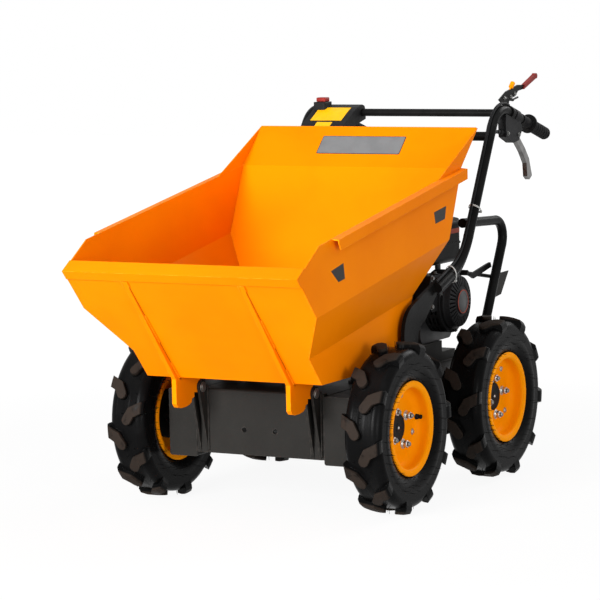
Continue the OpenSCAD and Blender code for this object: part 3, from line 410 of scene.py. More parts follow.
def make_finishes(c):
    """Every finish of the dumper, by its name."""
    FINISHES.update({
        # both orange finishes carry the painted edge highlight
        "orange_paint": orange_paint("orange_paint", c.skip_orange, c.edge_highlight_orange),
        "rim_paint": orange_paint("rim_paint", c.rim_orange, c.edge_highlight_orange),
        "grey_paint": powder_coat("grey_paint", c.case_grey, c.case_worn, 0.44, 0.75),
        "tube_paint": gloss_paint("tube_paint", c.tube_black, c.case_worn),
        "black_paint": gloss_paint("black_paint", c.tube_black, c.case_worn, 0.3),
        "black_plastic": moulded("black_plastic", c.plastic_black),
        "black_rubber": soft_rubber(c),
        "cast_alloy": bare_metal("cast_alloy", c.alloy, 0.26, tarnish=0.4),
        "engine_casting": casting(c),
        "dark_steel": bare_metal("dark_steel", c.steel, 0.34, (1.0, 6.0, 6.0), 0.6),
        "red_plastic": moulded("red_plastic", c.control_red, 0.36, 900.0, 0.1),
        "orange_plastic": moulded("orange_plastic", c.knob_orange, 0.34, 900.0, 0.1),
        "zinc_plate": bare_metal("zinc_plate", c.zinc, 0.2, tarnish=0.45),
        "rivet_grey": bare_metal("rivet_grey", scaled(c.zinc, 0.55), 0.4),
        "stud_steel": bare_metal("stud_steel", scaled(c.zinc, 0.3), 0.34),
        "plate_yellow": film("plate_yellow", c.plate_yellow, 0.34, 0.9),
        "plate_silver": film("plate_silver", c.plate_silver, 0.3, 0.88),
        "stripe_film": film("stripe_film", c.stripe_black, 0.42, 0.7),
        "band_film": film("band_film", c.band_red, 0.4, 0.7),
        "badge_film": film("badge_film", scaled(c.plate_silver, 0.42), 0.3, 0.6),
        "tie_nylon": film("tie_nylon", c.tie_pale, 0.38, 0.8),
        "hair_rubber": film("hair_rubber", c.tyre_black, 0.5, 0.7),
        # painted shade in the ribs' open joints
        "joint_gap": film("joint_gap", c.joint_shade_orange, 0.7, 0.6),
    })
    for wheel in WHEELS:
        FINISHES["tyre_rubber_" + wheel] = tyre_rubber(c, wheel)


# mesh helpers


def facing(point, direction):
    """A frame at a point with its Z along a direction."""
    return Matrix.Translation(point) @ Vector(direction).to_track_quat("Z", "Y").to_matrix().to_4x4()


def raised(place, height):
    """A frame moved along its own Z."""
    return place @ Matrix.Translation((0, 0, height))


def cone(bm, place, r1, r2, depth, segments):
    """A capped cone that stands on its frame."""
    made = bmesh.ops.create_cone(
        bm, cap_ends=True, cap_tris=False, segments=segments, radius1=r1, radius2=r2, depth=depth,
        matrix=raised(place, depth / 2))
    return made["verts"]


def chamfer(bm, verts, offset):
    """Breaks every edge at some vertices."""
    edges = list(dict.fromkeys(e for v in verts for e in v.link_edges))
    bmesh.ops.bevel(
        bm, geom=edges, offset=offset, offset_type="OFFSET", segments=1, profile=0.5, affect="EDGES",
        material=-1)


def round_corners(bm, verts, radius, segments):
    """Rounds the corners of a flat face."""
    bmesh.ops.bevel(
        bm, geom=verts, offset=radius, segments=segments, profile=0.5, affect="VERTICES", material=-1)


def hexagon(bm, place, flats, height):
    """A hexagon with its corners turned down."""
    radius = flats / math.sqrt(3)
    chamfer(bm, cone(bm, place, radius, radius, height, 6), flats * 0.05)


def washer(bm, place, radius, height):
    """A flat disc with broken edges."""
    chamfer(bm, cone(bm, place, radius, radius, height, 20), height * 0.25)


def screw(bm, place, flats):
    """A hexagon screw with its washer."""
    washer(bm, place, flats * 0.82, flats * 0.14)
    hexagon(bm, raised(place, flats * 0.13), flats, flats * 0.5)


def ring(bm, place, radius, width, height, segments=40):
    """A flat ring round its frame's Z, from a section that is spun."""
    section = bmesh.ops.create_grid(bm, x_segments=1, y_segments=1, size=0.5)["verts"]
    bmesh.ops.scale(bm, vec=(width, height, 1), verts=section)
    bmesh.ops.rotate(bm, cent=(0, 0, 0), matrix=Matrix.Rotation(math.pi / 2, 3, "X"), verts=section)
    bmesh.ops.translate(bm, vec=(radius, 0, 0), verts=section)
    faces = list(dict.fromkeys(f for v in section for f in v.link_faces))
    rim = list(dict.fromkeys(e for f in faces for e in f.edges))
    before = set(bm.verts) - set(section)
    bmesh.ops.delete(bm, geom=faces, context="FACES_ONLY")
    bmesh.ops.spin(
        bm, geom=section + rim, cent=(0, 0, 0), axis=(0, 0, 1), angle=2 * math.pi, steps=segments,
        use_merge=True)
    bmesh.ops.transform(bm, matrix=place, verts=[v for v in bm.verts if v not in before])


def bead(bm, start, end, radius, pitch):
    """A weld between two points, as ripples that taper and lap over each other."""
    taper, lap, sides = 0.7, 1.3, 8
    run = end - start
    count = max(2, round(run.length / pitch))
    for i in range(count):
        place = facing(start + run * (i / count), run)
        cone(bm, place, radius, radius * taper, run.length / count * lap, sides)


def shift_grown(bm, grown, by):
    """Moves the vertices that an extrusion made."""
    verts = [g for g in grown["geom"] if isinstance(g, bmesh.types.BMVert)]
    bmesh.ops.translate(bm, vec=by, verts=verts)


def thicken(bm, thickness):
    """Makes a closed sheet of an open one."""
    bmesh.ops.recalc_face_normals(bm, faces=bm.faces)
    bmesh.ops.solidify(bm, geom=bm.faces[:], thickness=thickness)


def sheet_block(bm, corners, thickness):
    """A thin block on a flat face, from its corners."""
    face = bm.faces.new([bm.verts.new(p) for p in corners])
    face.normal_update()
    lift = face.normal * thickness
    shift_grown(bm, bmesh.ops.extrude_face_region(bm, geom=[face]), lift)


def add_piece(name, bm, finish, body, smooth=35.0):
    """Closes a mesh, gives it its finish and lets it ride on a body."""
    bmesh.ops.remove_doubles(bm, verts=bm.verts, dist=1e-6)
    bmesh.ops.recalc_face_normals(bm, faces=bm.faces)
    mesh = bpy.data.meshes.new(name)
    bm.to_mesh(mesh)
    bm.free()
    mesh.shade_smooth()
    mesh.set_sharp_from_angle(angle=math.radians(smooth))
    mesh.materials.append(FINISHES[finish])
    made = bpy.data.objects.new(name, mesh)
    bpy.context.scene.collection.objects.link(made)
    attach(made, body)


def outwards(wheel):
    """Direction out of a wheel's face."""
    return OUT if wheel_middle[wheel].x > 0 else -OUT


def on_wheel(wheel, turn, radius, outset):
    """A point of a wheel: turn from the rear towards the top, radius and set outwards."""
    a = math.radians(turn)
    around = BACK * math.cos(a) + UP * math.sin(a)
    return wheel_middle[wheel] + outwards(wheel) * outset + around * radius


# solids whose finish isn't the one that their slot names
OWN_FINISH = {"gear_lever": "black_paint"}
for wheel_name in WHEELS:
    OWN_FINISH["rim_" + wheel_name] = "rim_paint"
    OWN_FINISH["tyre_" + wheel_name] = "tyre_rubber_" + wheel_name


class DUMPER_OT_finishes(bpy.types.Operator):
    """Gives every solid of the dumper its finish"""

    bl_idname = "dumper.finishes"
    bl_label = "Finishes"

    def execute(self, context):
        make_finishes(context.scene.dumper_colours)
        slots = {part["node"]: part["material_slot"] for part in frame["record"]["subparts"]}
        for name, solid in frame["nodes"].items():
            kind = OWN_FINISH.get(name, slots[name])
            if kind not in FINISHES:
                raise RuntimeError("no finish for " + name)
            solid.data.materials.clear()
            solid.data.materials.append(FINISHES[kind])
        return {"FINISHED"}


# wheel fittings: turns in degrees, lengths in metres from the wheel's middle
NUTS = 4
NUT_TURN = {"fl": 30.0, "fr": 60.0, "rl": 10.0, "rr": 80.0}
VALVE_TURN = {"fl": 9.0, "fr": 140.0, "rl": 190.0, "rr": 300.0}
DISC_FACE = 0.002
COVER_SEAT = DISC_FACE - 0.0004
COVER_T = 0.0022
# a small zinc dot in the middle of each hub stands in for a highlight on the hub's boss: a painted highlight
DOT_SEAT = DISC_FACE + 0.0023
DOT_R, DOT_TIP_R, DOT_H = 0.0036, 0.003, 0.0009
VALVE_RING = 0.092
VALVE_SEAT = DISC_FACE + 0.0045
# start as a share of the valve's reach, two radii, length as a share, sides
VALVE_STEPS = (
    (0.0, 0.0075, 0.0058, 0.45, 16),
    (0.44, 0.0042, 0.004, 0.3, 14),
    (0.68, 0.0056, 0.005, 0.32, 14),
)
CAP_EDGE = 0.0006


class DUMPER_OT_wheel_nuts(bpy.types.Operator):
    """Adds the nuts, studs, rivets, hub cover and valve of each wheel, and a zinc dot on each hub as a
    painted highlight
    """

    bl_idname = "dumper.wheel_nuts"
    bl_label = "Wheel nuts"

    def execute(self, context):
        s = context.scene.dumper_sizes
        for wheel in WHEELS:
            nuts, studs, rivets, valve, cover = (bmesh.new() for _ in range(5))
            out = outwards(wheel)
            for i in range(NUTS):
                turn = NUT_TURN[wheel] + 360 / NUTS * i
                self.nut(nuts, studs, facing(on_wheel(wheel, turn, s.nut_ring, DISC_FACE), out), s)
                between = turn + 180 / NUTS
                self.rivet(rivets, facing(on_wheel(wheel, between, s.rivet_ring, DISC_FACE), out), s.rivet_r)
            root = facing(on_wheel(wheel, VALVE_TURN[wheel], VALVE_RING, VALVE_SEAT), out)
            self.valve(valve, root, s.valve_reach)
            # painted highlight: a flat zinc dot on the hub's boss
            glint_dot = facing(on_wheel(wheel, 0.0, 0.0, DOT_SEAT), out)
            cone(nuts, glint_dot, DOT_R, DOT_TIP_R, DOT_H, 16)
            washer(cover, facing(on_wheel(wheel, 0.0, 0.0, COVER_SEAT), out), s.cover_r, COVER_T)
            body = "wheel_" + wheel
            add_piece("hub_cover_" + wheel, cover, "black_paint", body)
            add_piece("wheel_nuts_" + wheel, nuts, "zinc_plate", body)
            add_piece("wheel_studs_" + wheel, studs, "stud_steel", body)
            add_piece("rim_rivets_" + wheel, rivets, "rivet_grey", body)
            add_piece("valve_" + wheel, valve, "black_rubber", body)
        return {"FINISHED"}

    def nut(self, nuts, studs, seat, s):
        """A nut on its washer, with the end of its stud."""
        washer_r, washer_t, lift = s.nut_flats * 0.74, 0.0022, 0.002
        washer(nuts, seat, washer_r, washer_t)
        hexagon(nuts, raised(seat, lift), s.nut_flats, s.nut_flats * 0.72)
        stud_r, tip_r, straight = s.nut_flats * 0.36, s.nut_flats * 0.24, s.stud_reach * 0.7
        root = raised(seat, s.nut_flats * 0.7)
        cone(studs, root, stud_r, stud_r, straight, 14)
        cone(studs, raised(root, straight), stud_r, tip_r, s.stud_reach * 0.3, 14)

    def rivet(self, rivets, seat, radius):
        """A flat rivet's head on its collar."""
        collar_t, head_h = 0.001, 0.0032
        washer(rivets, seat, radius * 1.25, collar_t)
        cone(rivets, seat, radius, radius * 0.62, head_h, 16)

    def valve(self, valve, root, reach):
        """A valve's foot, stem and cap."""
        for start, r1, r2, share, sides in VALVE_STEPS:
            step = cone(valve, raised(root, reach * start), r1, r2, reach * share, sides)
        chamfer(valve, step, CAP_EDGE)


# radius, set to each side and count of the hairs on a tyre's walls, and the hairs of its tread
HAIR_RINGS = ((0.119, 0.0365, 46), (0.137, 0.0465, 34), (0.156, 0.047, 26))
TREAD_HAIRS = 44
TREAD_R = 0.192
TREAD_HALF = 0.03


class DUMPER_OT_tyre_hairs(bpy.types.Operator):
    """Adds the thin moulding hairs of new tyres"""

    bl_idname = "dumper.tyre_hairs"
    bl_label = "Tyre hairs"

    def execute(self, context):
        s = context.scene.dumper_sizes
        for wheel in WHEELS:
            hairs = bmesh.new()
            chance = random.Random("hairs " + wheel)
            side = outwards(wheel)
            for radius, outset, count in HAIR_RINGS:
                for face in (-1, 1):
                    for i in range(count):
                        turn = 360.0 * (i + chance.uniform(-0.35, 0.35)) / count
                        reach = radius + chance.uniform(-0.003, 0.003)
                        root = on_wheel(wheel, turn, reach, outset * face)
                        away = (root - wheel_middle[wheel]).normalized()
                        lean = side * face + away * chance.uniform(-0.25, 0.35)
                        lean += UP.cross(side) * chance.uniform(-0.2, 0.2)
                        self.hair(hairs, facing(root, lean), s.hair_r, s.hair_l * chance.uniform(0.5, 1.1))
            for i in range(TREAD_HAIRS):
                turn = 360.0 * (i + chance.uniform(-0.3, 0.3)) / TREAD_HAIRS
                root = on_wheel(wheel, turn, TREAD_R, chance.uniform(-TREAD_HALF, TREAD_HALF))
                away = Vector((0, *(root - wheel_middle[wheel]).yz)).normalized()
                lean = away + side * chance.uniform(-0.3, 0.3)
                self.hair(hairs, facing(root, lean), s.hair_r, s.hair_l * chance.uniform(0.6, 1.2))
            add_piece("tyre_hairs_" + wheel, hairs, "hair_rubber", "wheel_" + wheel)
        return {"FINISHED"}

    def hair(self, hairs, place, radius, length):
        """A hair that tapers."""
        cone(hairs, place, radius, radius * 0.4, length, 5)


# the skip's front ribs, in millimetres; welds and open joints as shares of a rib's length, with strips of
# painted shade laid in the open joints
RIB_FOOT = Vector((-496.0, 336.0))
RIB_LEAN = math.radians(41.6)
RIB_DIR = Vector((-math.sin(RIB_LEAN), math.cos(RIB_LEAN)))
RIB_OUT = Vector((-math.cos(RIB_LEAN), -math.sin(RIB_LEAN)))
RIB_L = 342.0
RIB_X = 157
RIB_HALF = 7.2
RIB_WELDS = ((0.0, 0.15), (0.38, 0.65), (0.95, 1.0))
RIB_WELD_OUT = 1.4
RIB_GAPS = ((0.15, 0.38), (0.65, 0.95))
# inset, set out and half width of the strips of painted shade in the open joints
RIB_GAP_IN = 1.0
RIB_GAP_OUT = 0.25
RIB_GAP_HALF = Vector((0.0005, 0, 0))
# the pivot brackets' cheeks and the handles' foot plates, in millimetres
CHEEK_X = (142.6, 171.4)
CHEEK_Y = -376.4
CHEEK_Z = (142, 300)
CHEEK_WELD = 1.15
FOOT_X = 265.6
FOOT_HEEL = Vector((60, 508))
FOOT_RUN = Vector((153, 53)).normalized()
FOOT_OVER = Vector((-FOOT_RUN.y, FOOT_RUN.x)) * 10.6
# strips that close the joints of the end plates with the drive cases, in metres
SEAM_X = (-0.0003, 0.0053)
SEAM_FRONT = 0.003
SEAM_REAR = 0.001
SEAM_T = 0.002
WELD_SMOOTH = 60.0


def on_rib(x, along, out):
    """A point on a front rib, along it and out of the skip's wall."""
    p = RIB_FOOT + RIB_DIR * along + RIB_OUT * out
    return spot(x, p.x, p.y)


class DUMPER_OT_welds(bpy.types.Operator):
    """Adds weld beads and seams on the skip, the brackets, the end plates and the handle feet, and strips of
    painted shade in the ribs' open joints
    """

    bl_idname = "dumper.welds"
    bl_label = "Welds"

    def execute(self, context):
        s = context.scene.dumper_sizes
        skip, shade_strips, brackets, feet = (bmesh.new() for _ in range(4))
        for side in (-1, 1):
            for edge in (-1, 1):
                self.rib(skip, shade_strips, side * RIB_X + edge * RIB_HALF, edge, s)
            for x in CHEEK_X:
                low, high = (spot(side * x, CHEEK_Y, z) for z in CHEEK_Z)
                bead(brackets, low, high, s.weld_r * CHEEK_WELD, s.weld_pitch)
            for reach, edge in ((56, -FOOT_OVER), (38, FOOT_OVER)):
                start = spot(side * FOOT_X, *(FOOT_HEEL + edge))
                end = spot(side * FOOT_X, *(FOOT_HEEL + FOOT_RUN * reach + edge))
                bead(feet, start, end, s.weld_r, s.weld_pitch)
        add_piece("plate_seams", self.seams(), "grey_paint", "chassis")
        add_piece("skip_welds", skip, "orange_paint", "skip", WELD_SMOOTH)
        # thin strips of painted shade in the ribs' open joints
        add_piece("rib_joint_gaps", shade_strips, "joint_gap", "skip")
        add_piece("bracket_welds", brackets, "grey_paint", "chassis", WELD_SMOOTH)
        add_piece("foot_welds", feet, "tube_paint", "chassis", WELD_SMOOTH)
        return {"FINISHED"}

    def rib(self, skip, shade_strips, x, edge, s):
        """The welds along one edge of a rib, and a strip of painted shade in the open joint between them."""
        for low, high in RIB_WELDS:
            start, end = (on_rib(x, share * RIB_L, RIB_WELD_OUT) for share in (low, high))
            bead(skip, start, end, s.weld_r, s.weld_pitch)
        # a strip of painted shade on the wall along each open joint
        for low, high in RIB_GAPS:
            a, b = (on_rib(x - edge * RIB_GAP_IN, share * RIB_L, RIB_GAP_OUT) for share in (low, high))
            corners = (a - RIB_GAP_HALF, a + RIB_GAP_HALF, b + RIB_GAP_HALF, b - RIB_GAP_HALF)
            sheet_block(shade_strips, corners, s.film_t)

    def seams(self):
        """The strips beside the front and the rear plate."""
        made = bmesh.new()
        plate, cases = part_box("front_plate"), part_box("drive_cases")
        z0, z1 = plate[0].z, plate[1].z
        for side in (-1, 1):
            x0, x1 = sorted(side * (plate[1].x + step) for step in SEAM_X)
            for y in (cases[0].y + SEAM_FRONT, cases[1].y - SEAM_REAR):
                corners = ((x0, z0), (x1, z0), (x1, z1), (x0, z1))
                sheet_block(made, [Vector((x, y, z)) for x, z in corners], SEAM_T)
        return made


# film blocks on the skip's sides, in millimetres: their face and their outlines in Y and Z
BLOCK_X = 315.1
FRONT_BLOCK = ((-582, 616), (-567, 603.5), (-546, 587), (-513.7, 592), (-520, 629))
REAR_BLOCK = ((-37, 707), (-29.5, 678), (24.5, 686), (32.8, 717.8))


class DUMPER_OT_side_blocks(bpy.types.Operator):
    """Adds the black film blocks on the skip's sides"""

    bl_idname = "dumper.side_blocks"
    bl_label = "Side blocks"

    def execute(self, context):
        s = context.scene.dumper_sizes
        blocks = bmesh.new()
        for outline in (FRONT_BLOCK, REAR_BLOCK):
            for side in (-1, 1):
                corners = [spot(side * BLOCK_X, y, z) for y, z in outline]
                sheet_block(blocks, corners if side < 0 else corners[::-1], s.film_t)
        blocks.normal_update()
        add_piece("side_blocks", blocks, "stripe_film", "skip")
        return {"FINISHED"}


# the rear wall's flare, in millimetres: lean, fold line and the plate's edges across and along it
FLARE_LEAN = math.radians(46.4)
FLARE_UP = Vector((math.sin(FLARE_LEAN), math.cos(FLARE_LEAN)))
FLARE_IN = Vector((-FLARE_UP.y, FLARE_UP.x))
FLARE_FOLD = Vector((122.1, 803.0)) + FLARE_IN * 3.05
PLATE_X = (-113, 127)
PLATE_ALONG = (44, 106)
PLATE_CORNER = 0.004
# name, inset, set over the wall and finish
REAR_PLATES = (("rear_plate_edge", 0.0, 0.0, "stripe_film"), ("rear_plate", 1.6, 0.3, "plate_silver"))
# the console's hood: its profile in radii of the cross tube, from that tube's axis
HOOD = [(-13.6, -5.2), (-12.4, -3.8), (-10.4, -2.5), (-7.6, -1.0), (-4.6, 0.7), (-2.4, 1.6), (0.0, 2.1)]
HOOD_OVER = 0.4
CROSS = Vector((437.5, 927.3))
CROSS_R = 10.0
# name, ends in X, top and foot in Z
CONSOLE_PLATES = (
    ("console_plate", -234, -141, 941.0, 910.0),
    ("console_plate_low", -209, -163, 906.0, 892.0),
)
CONSOLE_STEPS = 8


def on_flare(x, along):
    """A point on the inside of the rear wall's flare."""
    p = FLARE_FOLD + FLARE_UP * along
    return spot(x, p.x, p.y)


def hood_at(height):
    """Y and Z of the console's hood at a height, a little over its skin."""
    points = [CROSS + Vector(p) * CROSS_R for p in HOOD]
    for a, b in zip(points, points[1:]):
        if a.y <= height <= b.y:
            u = (b - a).normalized()
            return a + (b - a) * ((height - a.y) / (b.y - a.y)) + Vector((-u.y, u.x)) * HOOD_OVER
    raise RuntimeError("no such height on the hood")


class DUMPER_OT_plates(bpy.types.Operator):
    """Adds the bare plates on the rear wall and the console"""

    bl_idname = "dumper.plates"
    bl_label = "Bare plates"

    def execute(self, context):
        s = context.scene.dumper_sizes
        for name, inset, lift, finish in REAR_PLATES:
            add_piece(name, self.rear_plate(inset, lift, s.film_t), finish, "skip")
        for name, x0, x1, top, foot in CONSOLE_PLATES:
            add_piece(name, self.console_plate(x0, x1, top, foot, s.film_t), "plate_yellow", "chassis")
        return {"FINISHED"}

    def rear_plate(self, inset, lift, thickness):
        """A plate with round corners on the flare."""
        plate = bmesh.new()
        x0, x1 = PLATE_X[0] + inset, PLATE_X[1] - inset
        t0, t1 = PLATE_ALONG[0] + inset, PLATE_ALONG[1] - inset
        over = Vector((0, *(FLARE_IN * lift * MM)))
        corners = [on_flare(x, t) + over for x, t in ((x0, t0), (x1, t0), (x1, t1), (x0, t1))]
        face = plate.faces.new([plate.verts.new(p) for p in corners])
        round_corners(plate, list(face.verts), PLATE_CORNER, 4)
        grown = bmesh.ops.extrude_face_region(plate, geom=plate.faces[:])
        shift_grown(plate, grown, Vector((0, *(FLARE_IN * thickness))))
        return plate

    def console_plate(self, x0, x1, top, foot, thickness):
        """A plate that follows the hood."""
        plate = bmesh.new()
        levels = [top + (foot - top) * i / CONSOLE_STEPS for i in range(CONSOLE_STEPS + 1)]
        verts = [plate.verts.new(spot(x0, *hood_at(z))) for z in levels]
        rail = [plate.edges.new(pair) for pair in zip(verts, verts[1:])]
        shift_grown(plate, bmesh.ops.extrude_edge_only(plate, edges=rail), ((x1 - x0) * MM, 0, 0))
        thicken(plate, thickness)
        return plate


# the tank's sides and the band round it, in millimetres
TANK_X = (-19.7, 200.3)
TANK_Y = (179.8, 370.2)
TANK_R = 28.0
BAND_Z = (622.0, 634.0)
BAND_OVER = 0.6
# the starter's axis and the screws of the engine, in millimetres
STARTER_Y = 275
STARTER_Z = 450
STARTER_SCREWS = (40, 160, 280)
STARTER_SCREW_X = 213.2
STARTER_SCREW_R = 77
SHROUD_X = 208.0
SHROUD_SCREWS = ((165, 519), (236, 520), (160, 447))
TOP_X = 188.0
TOP_SCREWS = ((176, 524.8), (222, 524.8))
# the badge and its ring, in metres
BADGE_R, BADGE_TOP_R, BADGE_T, BADGE_EDGE = 0.0287, 0.0284, 0.0007, 0.0002
# height over the starter's face, radius, width, thickness
INNER_RING = (0.0008, 0.0225, 0.0007, 0.0005)
OUTER_RING = (0.0004, 0.0296, 0.0022, 0.0014)


class DUMPER_OT_engine_trim(bpy.types.Operator):
    """Adds the tank's band, the starter's bare badge and small screws"""

    bl_idname = "dumper.engine_trim"
    bl_label = "Engine trim"

    def execute(self, context):
        s = context.scene.dumper_sizes
        add_piece("tank_band", self.band(s.film_t), "band_film", "chassis")
        self.badge()
        add_piece("engine_screws", self.screws(s.screw_flats), "stud_steel", "chassis")
        return {"FINISHED"}

    def band(self, thickness):
        """A thin band round the tank, with the tank's round corners."""
        band = bmesh.new()
        (x0, x1), (y0, y1), (z0, z1) = TANK_X, TANK_Y, BAND_Z
        verts = bmesh.ops.create_grid(band, x_segments=1, y_segments=1, size=0.5)["verts"]
        across = ((x1 - x0 + BAND_OVER) * MM, (y1 - y0 + BAND_OVER) * MM, 1)
        bmesh.ops.scale(band, vec=across, verts=verts)
        round_corners(band, verts, TANK_R * MM, 8)
        bmesh.ops.translate(band, vec=spot((x0 + x1) / 2, (y0 + y1) / 2, z0), verts=band.verts[:])
        rim = [e for e in band.edges if e.is_boundary]
        lid = band.faces[:]
        grown = bmesh.ops.extrude_edge_only(band, edges=rim)
        bmesh.ops.delete(band, geom=lid, context="FACES_ONLY")
        shift_grown(band, grown, (0, 0, (z1 - z0) * MM))
        thicken(band, thickness)
        return band

    def badge(self):
        """The bare disc in the middle of the starter, and its ring."""
        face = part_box("recoil_starter")[1].x
        place = facing(Vector((face, *spot(0, STARTER_Y, STARTER_Z).yz)), OUT)
        badge, rim_ring = bmesh.new(), bmesh.new()
        chamfer(badge, cone(badge, place, BADGE_R, BADGE_TOP_R, BADGE_T, 48), BADGE_EDGE)
        ring(badge, raised(place, INNER_RING[0]), *INNER_RING[1:])
        ring(rim_ring, raised(place, OUTER_RING[0]), *OUTER_RING[1:], 48)
        add_piece("starter_badge", badge, "badge_film", "chassis")
        add_piece("starter_badge_ring", rim_ring, "band_film", "chassis")

    def screws(self, flats):
        """The screws of the starter and of the shroud."""
        screws = bmesh.new()
        for turn in STARTER_SCREWS:
            a = math.radians(turn)
            y = STARTER_Y + STARTER_SCREW_R * math.cos(a)
            z = STARTER_Z + STARTER_SCREW_R * math.sin(a)
            screw(screws, facing(spot(STARTER_SCREW_X, y, z), OUT), flats * 0.8)
        for y, z in SHROUD_SCREWS:
            screw(screws, facing(spot(SHROUD_X, y, z), OUT), flats)
        for y, z in TOP_SCREWS:
            screw(screws, facing(spot(TOP_X, y, z), UP), flats)
        return screws


# the left handle's tube and the ties on it, in millimetres: Y, Z and the tube's run there
TUBE_X = 274.0
TIES = ((141, 535.5, (153, 53)), (288, 690, (216, 387)))
TIE_R = 22.6
TIE_SQUEEZE = Matrix.Diagonal((0.65, 1.0, 1.0, 1.0))
# a tie's thickness, and its head: width, depth, place and edge, in metres
TIE_T = 0.0013
TIE_HEAD = (0.006, 0.0045)
TIE_HEAD_AT = (0.009, (TIE_R - 3.4) * MM, 0)
TIE_EDGE = 0.0006


class DUMPER_OT_cable_ties(bpy.types.Operator):
    """Adds the ties that hold the control cables to the left handle"""

    bl_idname = "dumper.cable_ties"
    bl_label = "Cable ties"

    def execute(self, context):
        s = context.scene.dumper_sizes
        ties = bmesh.new()
        for y, z, run in TIES:
            along = Vector((0, *Vector(run).normalized()))
            axes = Matrix((OUT, along.cross(OUT), along)).transposed().to_4x4()
            place = Matrix.Translation(spot(TUBE_X, y, z)) @ axes
            ring(ties, place @ TIE_SQUEEZE, TIE_R * MM, TIE_T, s.tie_w, 32)
            head = bmesh.ops.create_cube(ties, size=1.0)["verts"]
            bmesh.ops.scale(ties, vec=(*TIE_HEAD, s.tie_w * 1.5), verts=head)
            bmesh.ops.translate(ties, vec=TIE_HEAD_AT, verts=head)
            bmesh.ops.transform(ties, matrix=place, verts=head)
            chamfer(ties, head, TIE_EDGE)
        add_piece("cable_ties", ties, "tie_nylon", "chassis")
        return {"FINISHED"}


# the left handle's end, in millimetres: from its crown to its grip, in radii of the tube
CROWN = Vector((429.0, 948.0))
GRIP_DIR = (Vector((741.0, 856.0)) - CROWN).normalized()
GRIP_UP = Vector((-GRIP_DIR.y, GRIP_DIR.x))
GRIP_R = 13.0
# the faces that screws sit on, outer and inner, and the screws' places along and over the tube
CONTROL_SCREWS = (
    (TUBE_X - 11.7 + 4.55, TUBE_X - 11.7, ((4.6, 2.6), (7.4, 3.5), (9.2, 4.6))),
    (TUBE_X + 11.05, TUBE_X - 11.05, ((10.3, -3.6), (5.0, -4.6))),
)
# the skip's pivots in Y and Z, and the faces that clips sit on
PIVOT = (-398, 300)
CLIP_FACES = ((140, -1), (174, 1))
# set over the face, radius, width, thickness
CLIP_OVER = -0.0022
CLIP_RING = (0.0105, 0.005, 0.0016)


class DUMPER_OT_control_screws(bpy.types.Operator):
    """Adds the plated screws of the throttle and the lever, and the clips of the pivots"""

    bl_idname = "dumper.control_screws"
    bl_label = "Control screws"

    def execute(self, context):
        flats = context.scene.dumper_sizes.screw_flats * 0.7
        screws, clips = bmesh.new(), bmesh.new()
        for outer, inner, places in CONTROL_SCREWS:
            for along, over in places:
                p = CROWN + GRIP_DIR * (along * GRIP_R) + GRIP_UP * (over * GRIP_R)
                screw(screws, facing(spot(outer, p.x, p.y), OUT), flats)
                screw(screws, facing(spot(inner, p.x, p.y), -OUT), flats)
        for side in (-1, 1):
            for x, way in CLIP_FACES:
                place = facing(spot(side * x, *PIVOT), OUT * side * way)
                ring(clips, raised(place, CLIP_OVER), *CLIP_RING, 24)
        add_piece("control_screws", screws, "stud_steel", "chassis")
        add_piece("pivot_clips", clips, "dark_steel", "chassis")
        return {"FINISHED"}


# name, place and width of a lamp in metres, and the setting of its power
LAMPS = (
    ("key_lamp", (-0.9, -6.2, 2.1), 2.4, "key_watts"),
    ("fill_lamp", (5.0, -3.4, 0.9), 1.6, "fill_watts"),
    ("rear_lamp", (2.0, 4.6, 3.6), 2.4, "rear_watts"),
)
LAMP_AIM = Vector((0.0, 0.0, 0.45))
WHITE = (1.0, 1.0, 1.0, 1.0)
# rays that show the white background itself
SHOWN = ("Is Camera Ray", "Is Glossy Ray", "Is Transmission Ray")
FLOOR_HALF = 14.0
FLOOR_TONES = ((0.5, 0.5, 0.5), (0.46, 0.46, 0.46))
# the floor's glow, its share near the machine and the distances over which it takes over
FLOOR_GLOW = 1.06
GLOW_SHARE = 0.87
GLOW_REST = 0.13
GLOW_NEAR, GLOW_FAR = 1.1, 3.6
SENSOR_W = 36.0


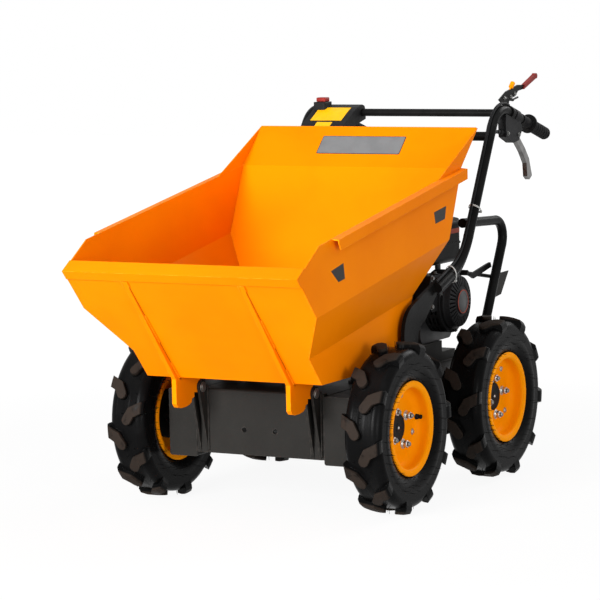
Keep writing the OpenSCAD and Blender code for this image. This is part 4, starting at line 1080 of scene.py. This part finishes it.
class DUMPER_OT_studio(bpy.types.Operator):
    """Adds the floor, the lamps and the camera"""

    bl_idname = "dumper.studio"
    bl_label = "Studio"

    def execute(self, context):
        s = context.scene.dumper_studio
        self.floor()
        self.sky(context.scene, s.sky)
        for name, where, width, watts in LAMPS:
            self.lamp(name, where, width, getattr(s, watts))
        self.camera(context.scene, s)
        context.scene.view_settings.view_transform = "Standard"
        return {"FINISHED"}

    def floor(self):
        """A pale floor that keeps the machine's shadow and turns white further off."""
        bm = bmesh.new()
        bmesh.ops.create_grid(bm, x_segments=2, y_segments=2, size=FLOOR_HALF)
        mesh = bpy.data.meshes.new("studio_floor")
        bm.to_mesh(mesh)
        bm.free()
        ground = bpy.data.objects.new("studio_floor", mesh)
        bpy.context.scene.collection.objects.link(ground)
        f = Finish("studio_floor", Roughness=0.9, Specular_IOR_Level=0.0)
        f.set(Base_Color=f.blend(f.noise(1.5, 2.0), *FLOOR_TONES))
        glow = f.node("Emission", {}, {"Color": WHITE, "Strength": FLOOR_GLOW})
        plain = Value(f.tree, f.shader.outputs[0])
        seen = f.step(sum(f.node("LightPath", output=kind) for kind in SHOWN), 0.0, 1.0)
        distance = f.node("VectorMath", {"operation": "LENGTH"}, {0: f.place}, "Value")
        away = f.step(distance, GLOW_NEAR, GLOW_FAR)
        both = f.node("MixShader", {}, {0: seen * (GLOW_SHARE + GLOW_REST * away), 1: plain, 2: glow})
        f.tree.links.new(both.socket, f.tree.nodes["Material Output"].inputs[0])
        mesh.materials.append(f.material)

    def sky(self, scene, strength):
        """Even light from all round, white where the background shows."""
        world = bpy.data.worlds.new("studio_sky")
        scene.world = world
        world.use_nodes = True
        tree = world.node_tree
        back = tree.nodes["Background"]
        path = tree.nodes.new("ShaderNodeLightPath")
        total = sum(Value(tree, path.outputs[kind]) for kind in SHOWN)
        shown = total.math("MINIMUM", total, 1.0)
        back.inputs["Color"].default_value = WHITE
        put(tree, back.inputs["Strength"], strength + shown * (1.0 - strength))

    def lamp(self, name, where, width, watts):
        """A square lamp that looks at the machine."""
        data = bpy.data.lights.new(name, "AREA")
        data.shape = "SQUARE"
        data.size = width
        data.energy = watts
        made = bpy.data.objects.new(name, data)
        made.location = where
        made.rotation_euler = (LAMP_AIM - Vector(where)).to_track_quat("-Z", "Y").to_euler()
        bpy.context.scene.collection.objects.link(made)

    def camera(self, scene, s):
        """The photo's camera."""
        data = bpy.data.cameras.new("photo_camera")
        data.sensor_width = SENSOR_W
        data.lens = s.lens
        data.shift_x = s.shift_x
        data.shift_y = s.shift_y
        level = math.cos(s.elevation)
        back = Vector((math.sin(s.azimuth) * level, -math.cos(s.azimuth) * level, math.sin(s.elevation)))
        right = Vector((math.cos(s.azimuth), math.sin(s.azimuth), 0.0))
        top = back.cross(right)
        turned = right * math.cos(s.roll) + top * math.sin(s.roll)
        upright = top * math.cos(s.roll) - right * math.sin(s.roll)
        where = back * s.distance + turned * s.across + upright * s.above + Vector((0, mid_wheelbase, 0))
        axes = Matrix((turned, upright, back)).transposed().to_4x4()
        made = bpy.data.objects.new("photo_camera", data)
        made.matrix_world = Matrix.Translation(where) @ axes
        scene.collection.objects.link(made)
        scene.camera = made


OPERATORS = (
    DUMPER_OT_studio,
    DUMPER_OT_finishes,
    DUMPER_OT_wheel_nuts,
    DUMPER_OT_tyre_hairs,
    DUMPER_OT_welds,
    DUMPER_OT_side_blocks,
    DUMPER_OT_plates,
    DUMPER_OT_engine_trim,
    DUMPER_OT_cable_ties,
    DUMPER_OT_control_screws,
)
GROUPS = {"dumper_colours": DumperColours, "dumper_sizes": DumperSizes, "dumper_studio": DumperStudio}


class DUMPER_PT_dressing(bpy.types.Panel):
    """Lists the steps that dress the dumper"""

    bl_idname = "DUMPER_PT_dressing"
    bl_label = "Wheel dumper"
    bl_space_type = "VIEW_3D"
    bl_region_type = "UI"
    bl_category = "Dumper"

    def draw(self, context):
        for operator in OPERATORS:
            self.layout.operator(operator.bl_idname)
        for group_name in GROUPS:
            group = getattr(context.scene, group_name)
            box = self.layout.box()
            for name in group.bl_rna.properties.keys():
                if name not in ("rna_type", "name"):
                    box.prop(group, name)


CLASSES = (*GROUPS.values(), *OPERATORS, DUMPER_PT_dressing)


def register():
    for cls in CLASSES:
        bpy.utils.register_class(cls)
    for name, group in GROUPS.items():
        setattr(bpy.types.Scene, name, bpy.props.PointerProperty(type=group))


def unregister():
    for name in GROUPS:
        delattr(bpy.types.Scene, name)
    for cls in reversed(CLASSES):
        bpy.utils.unregister_class(cls)


def main():
    register()
    for operator in OPERATORS:
        group, step = operator.bl_idname.split(".")
        getattr(getattr(bpy.ops, group), step)()


if __name__ == "__main__":
    main()
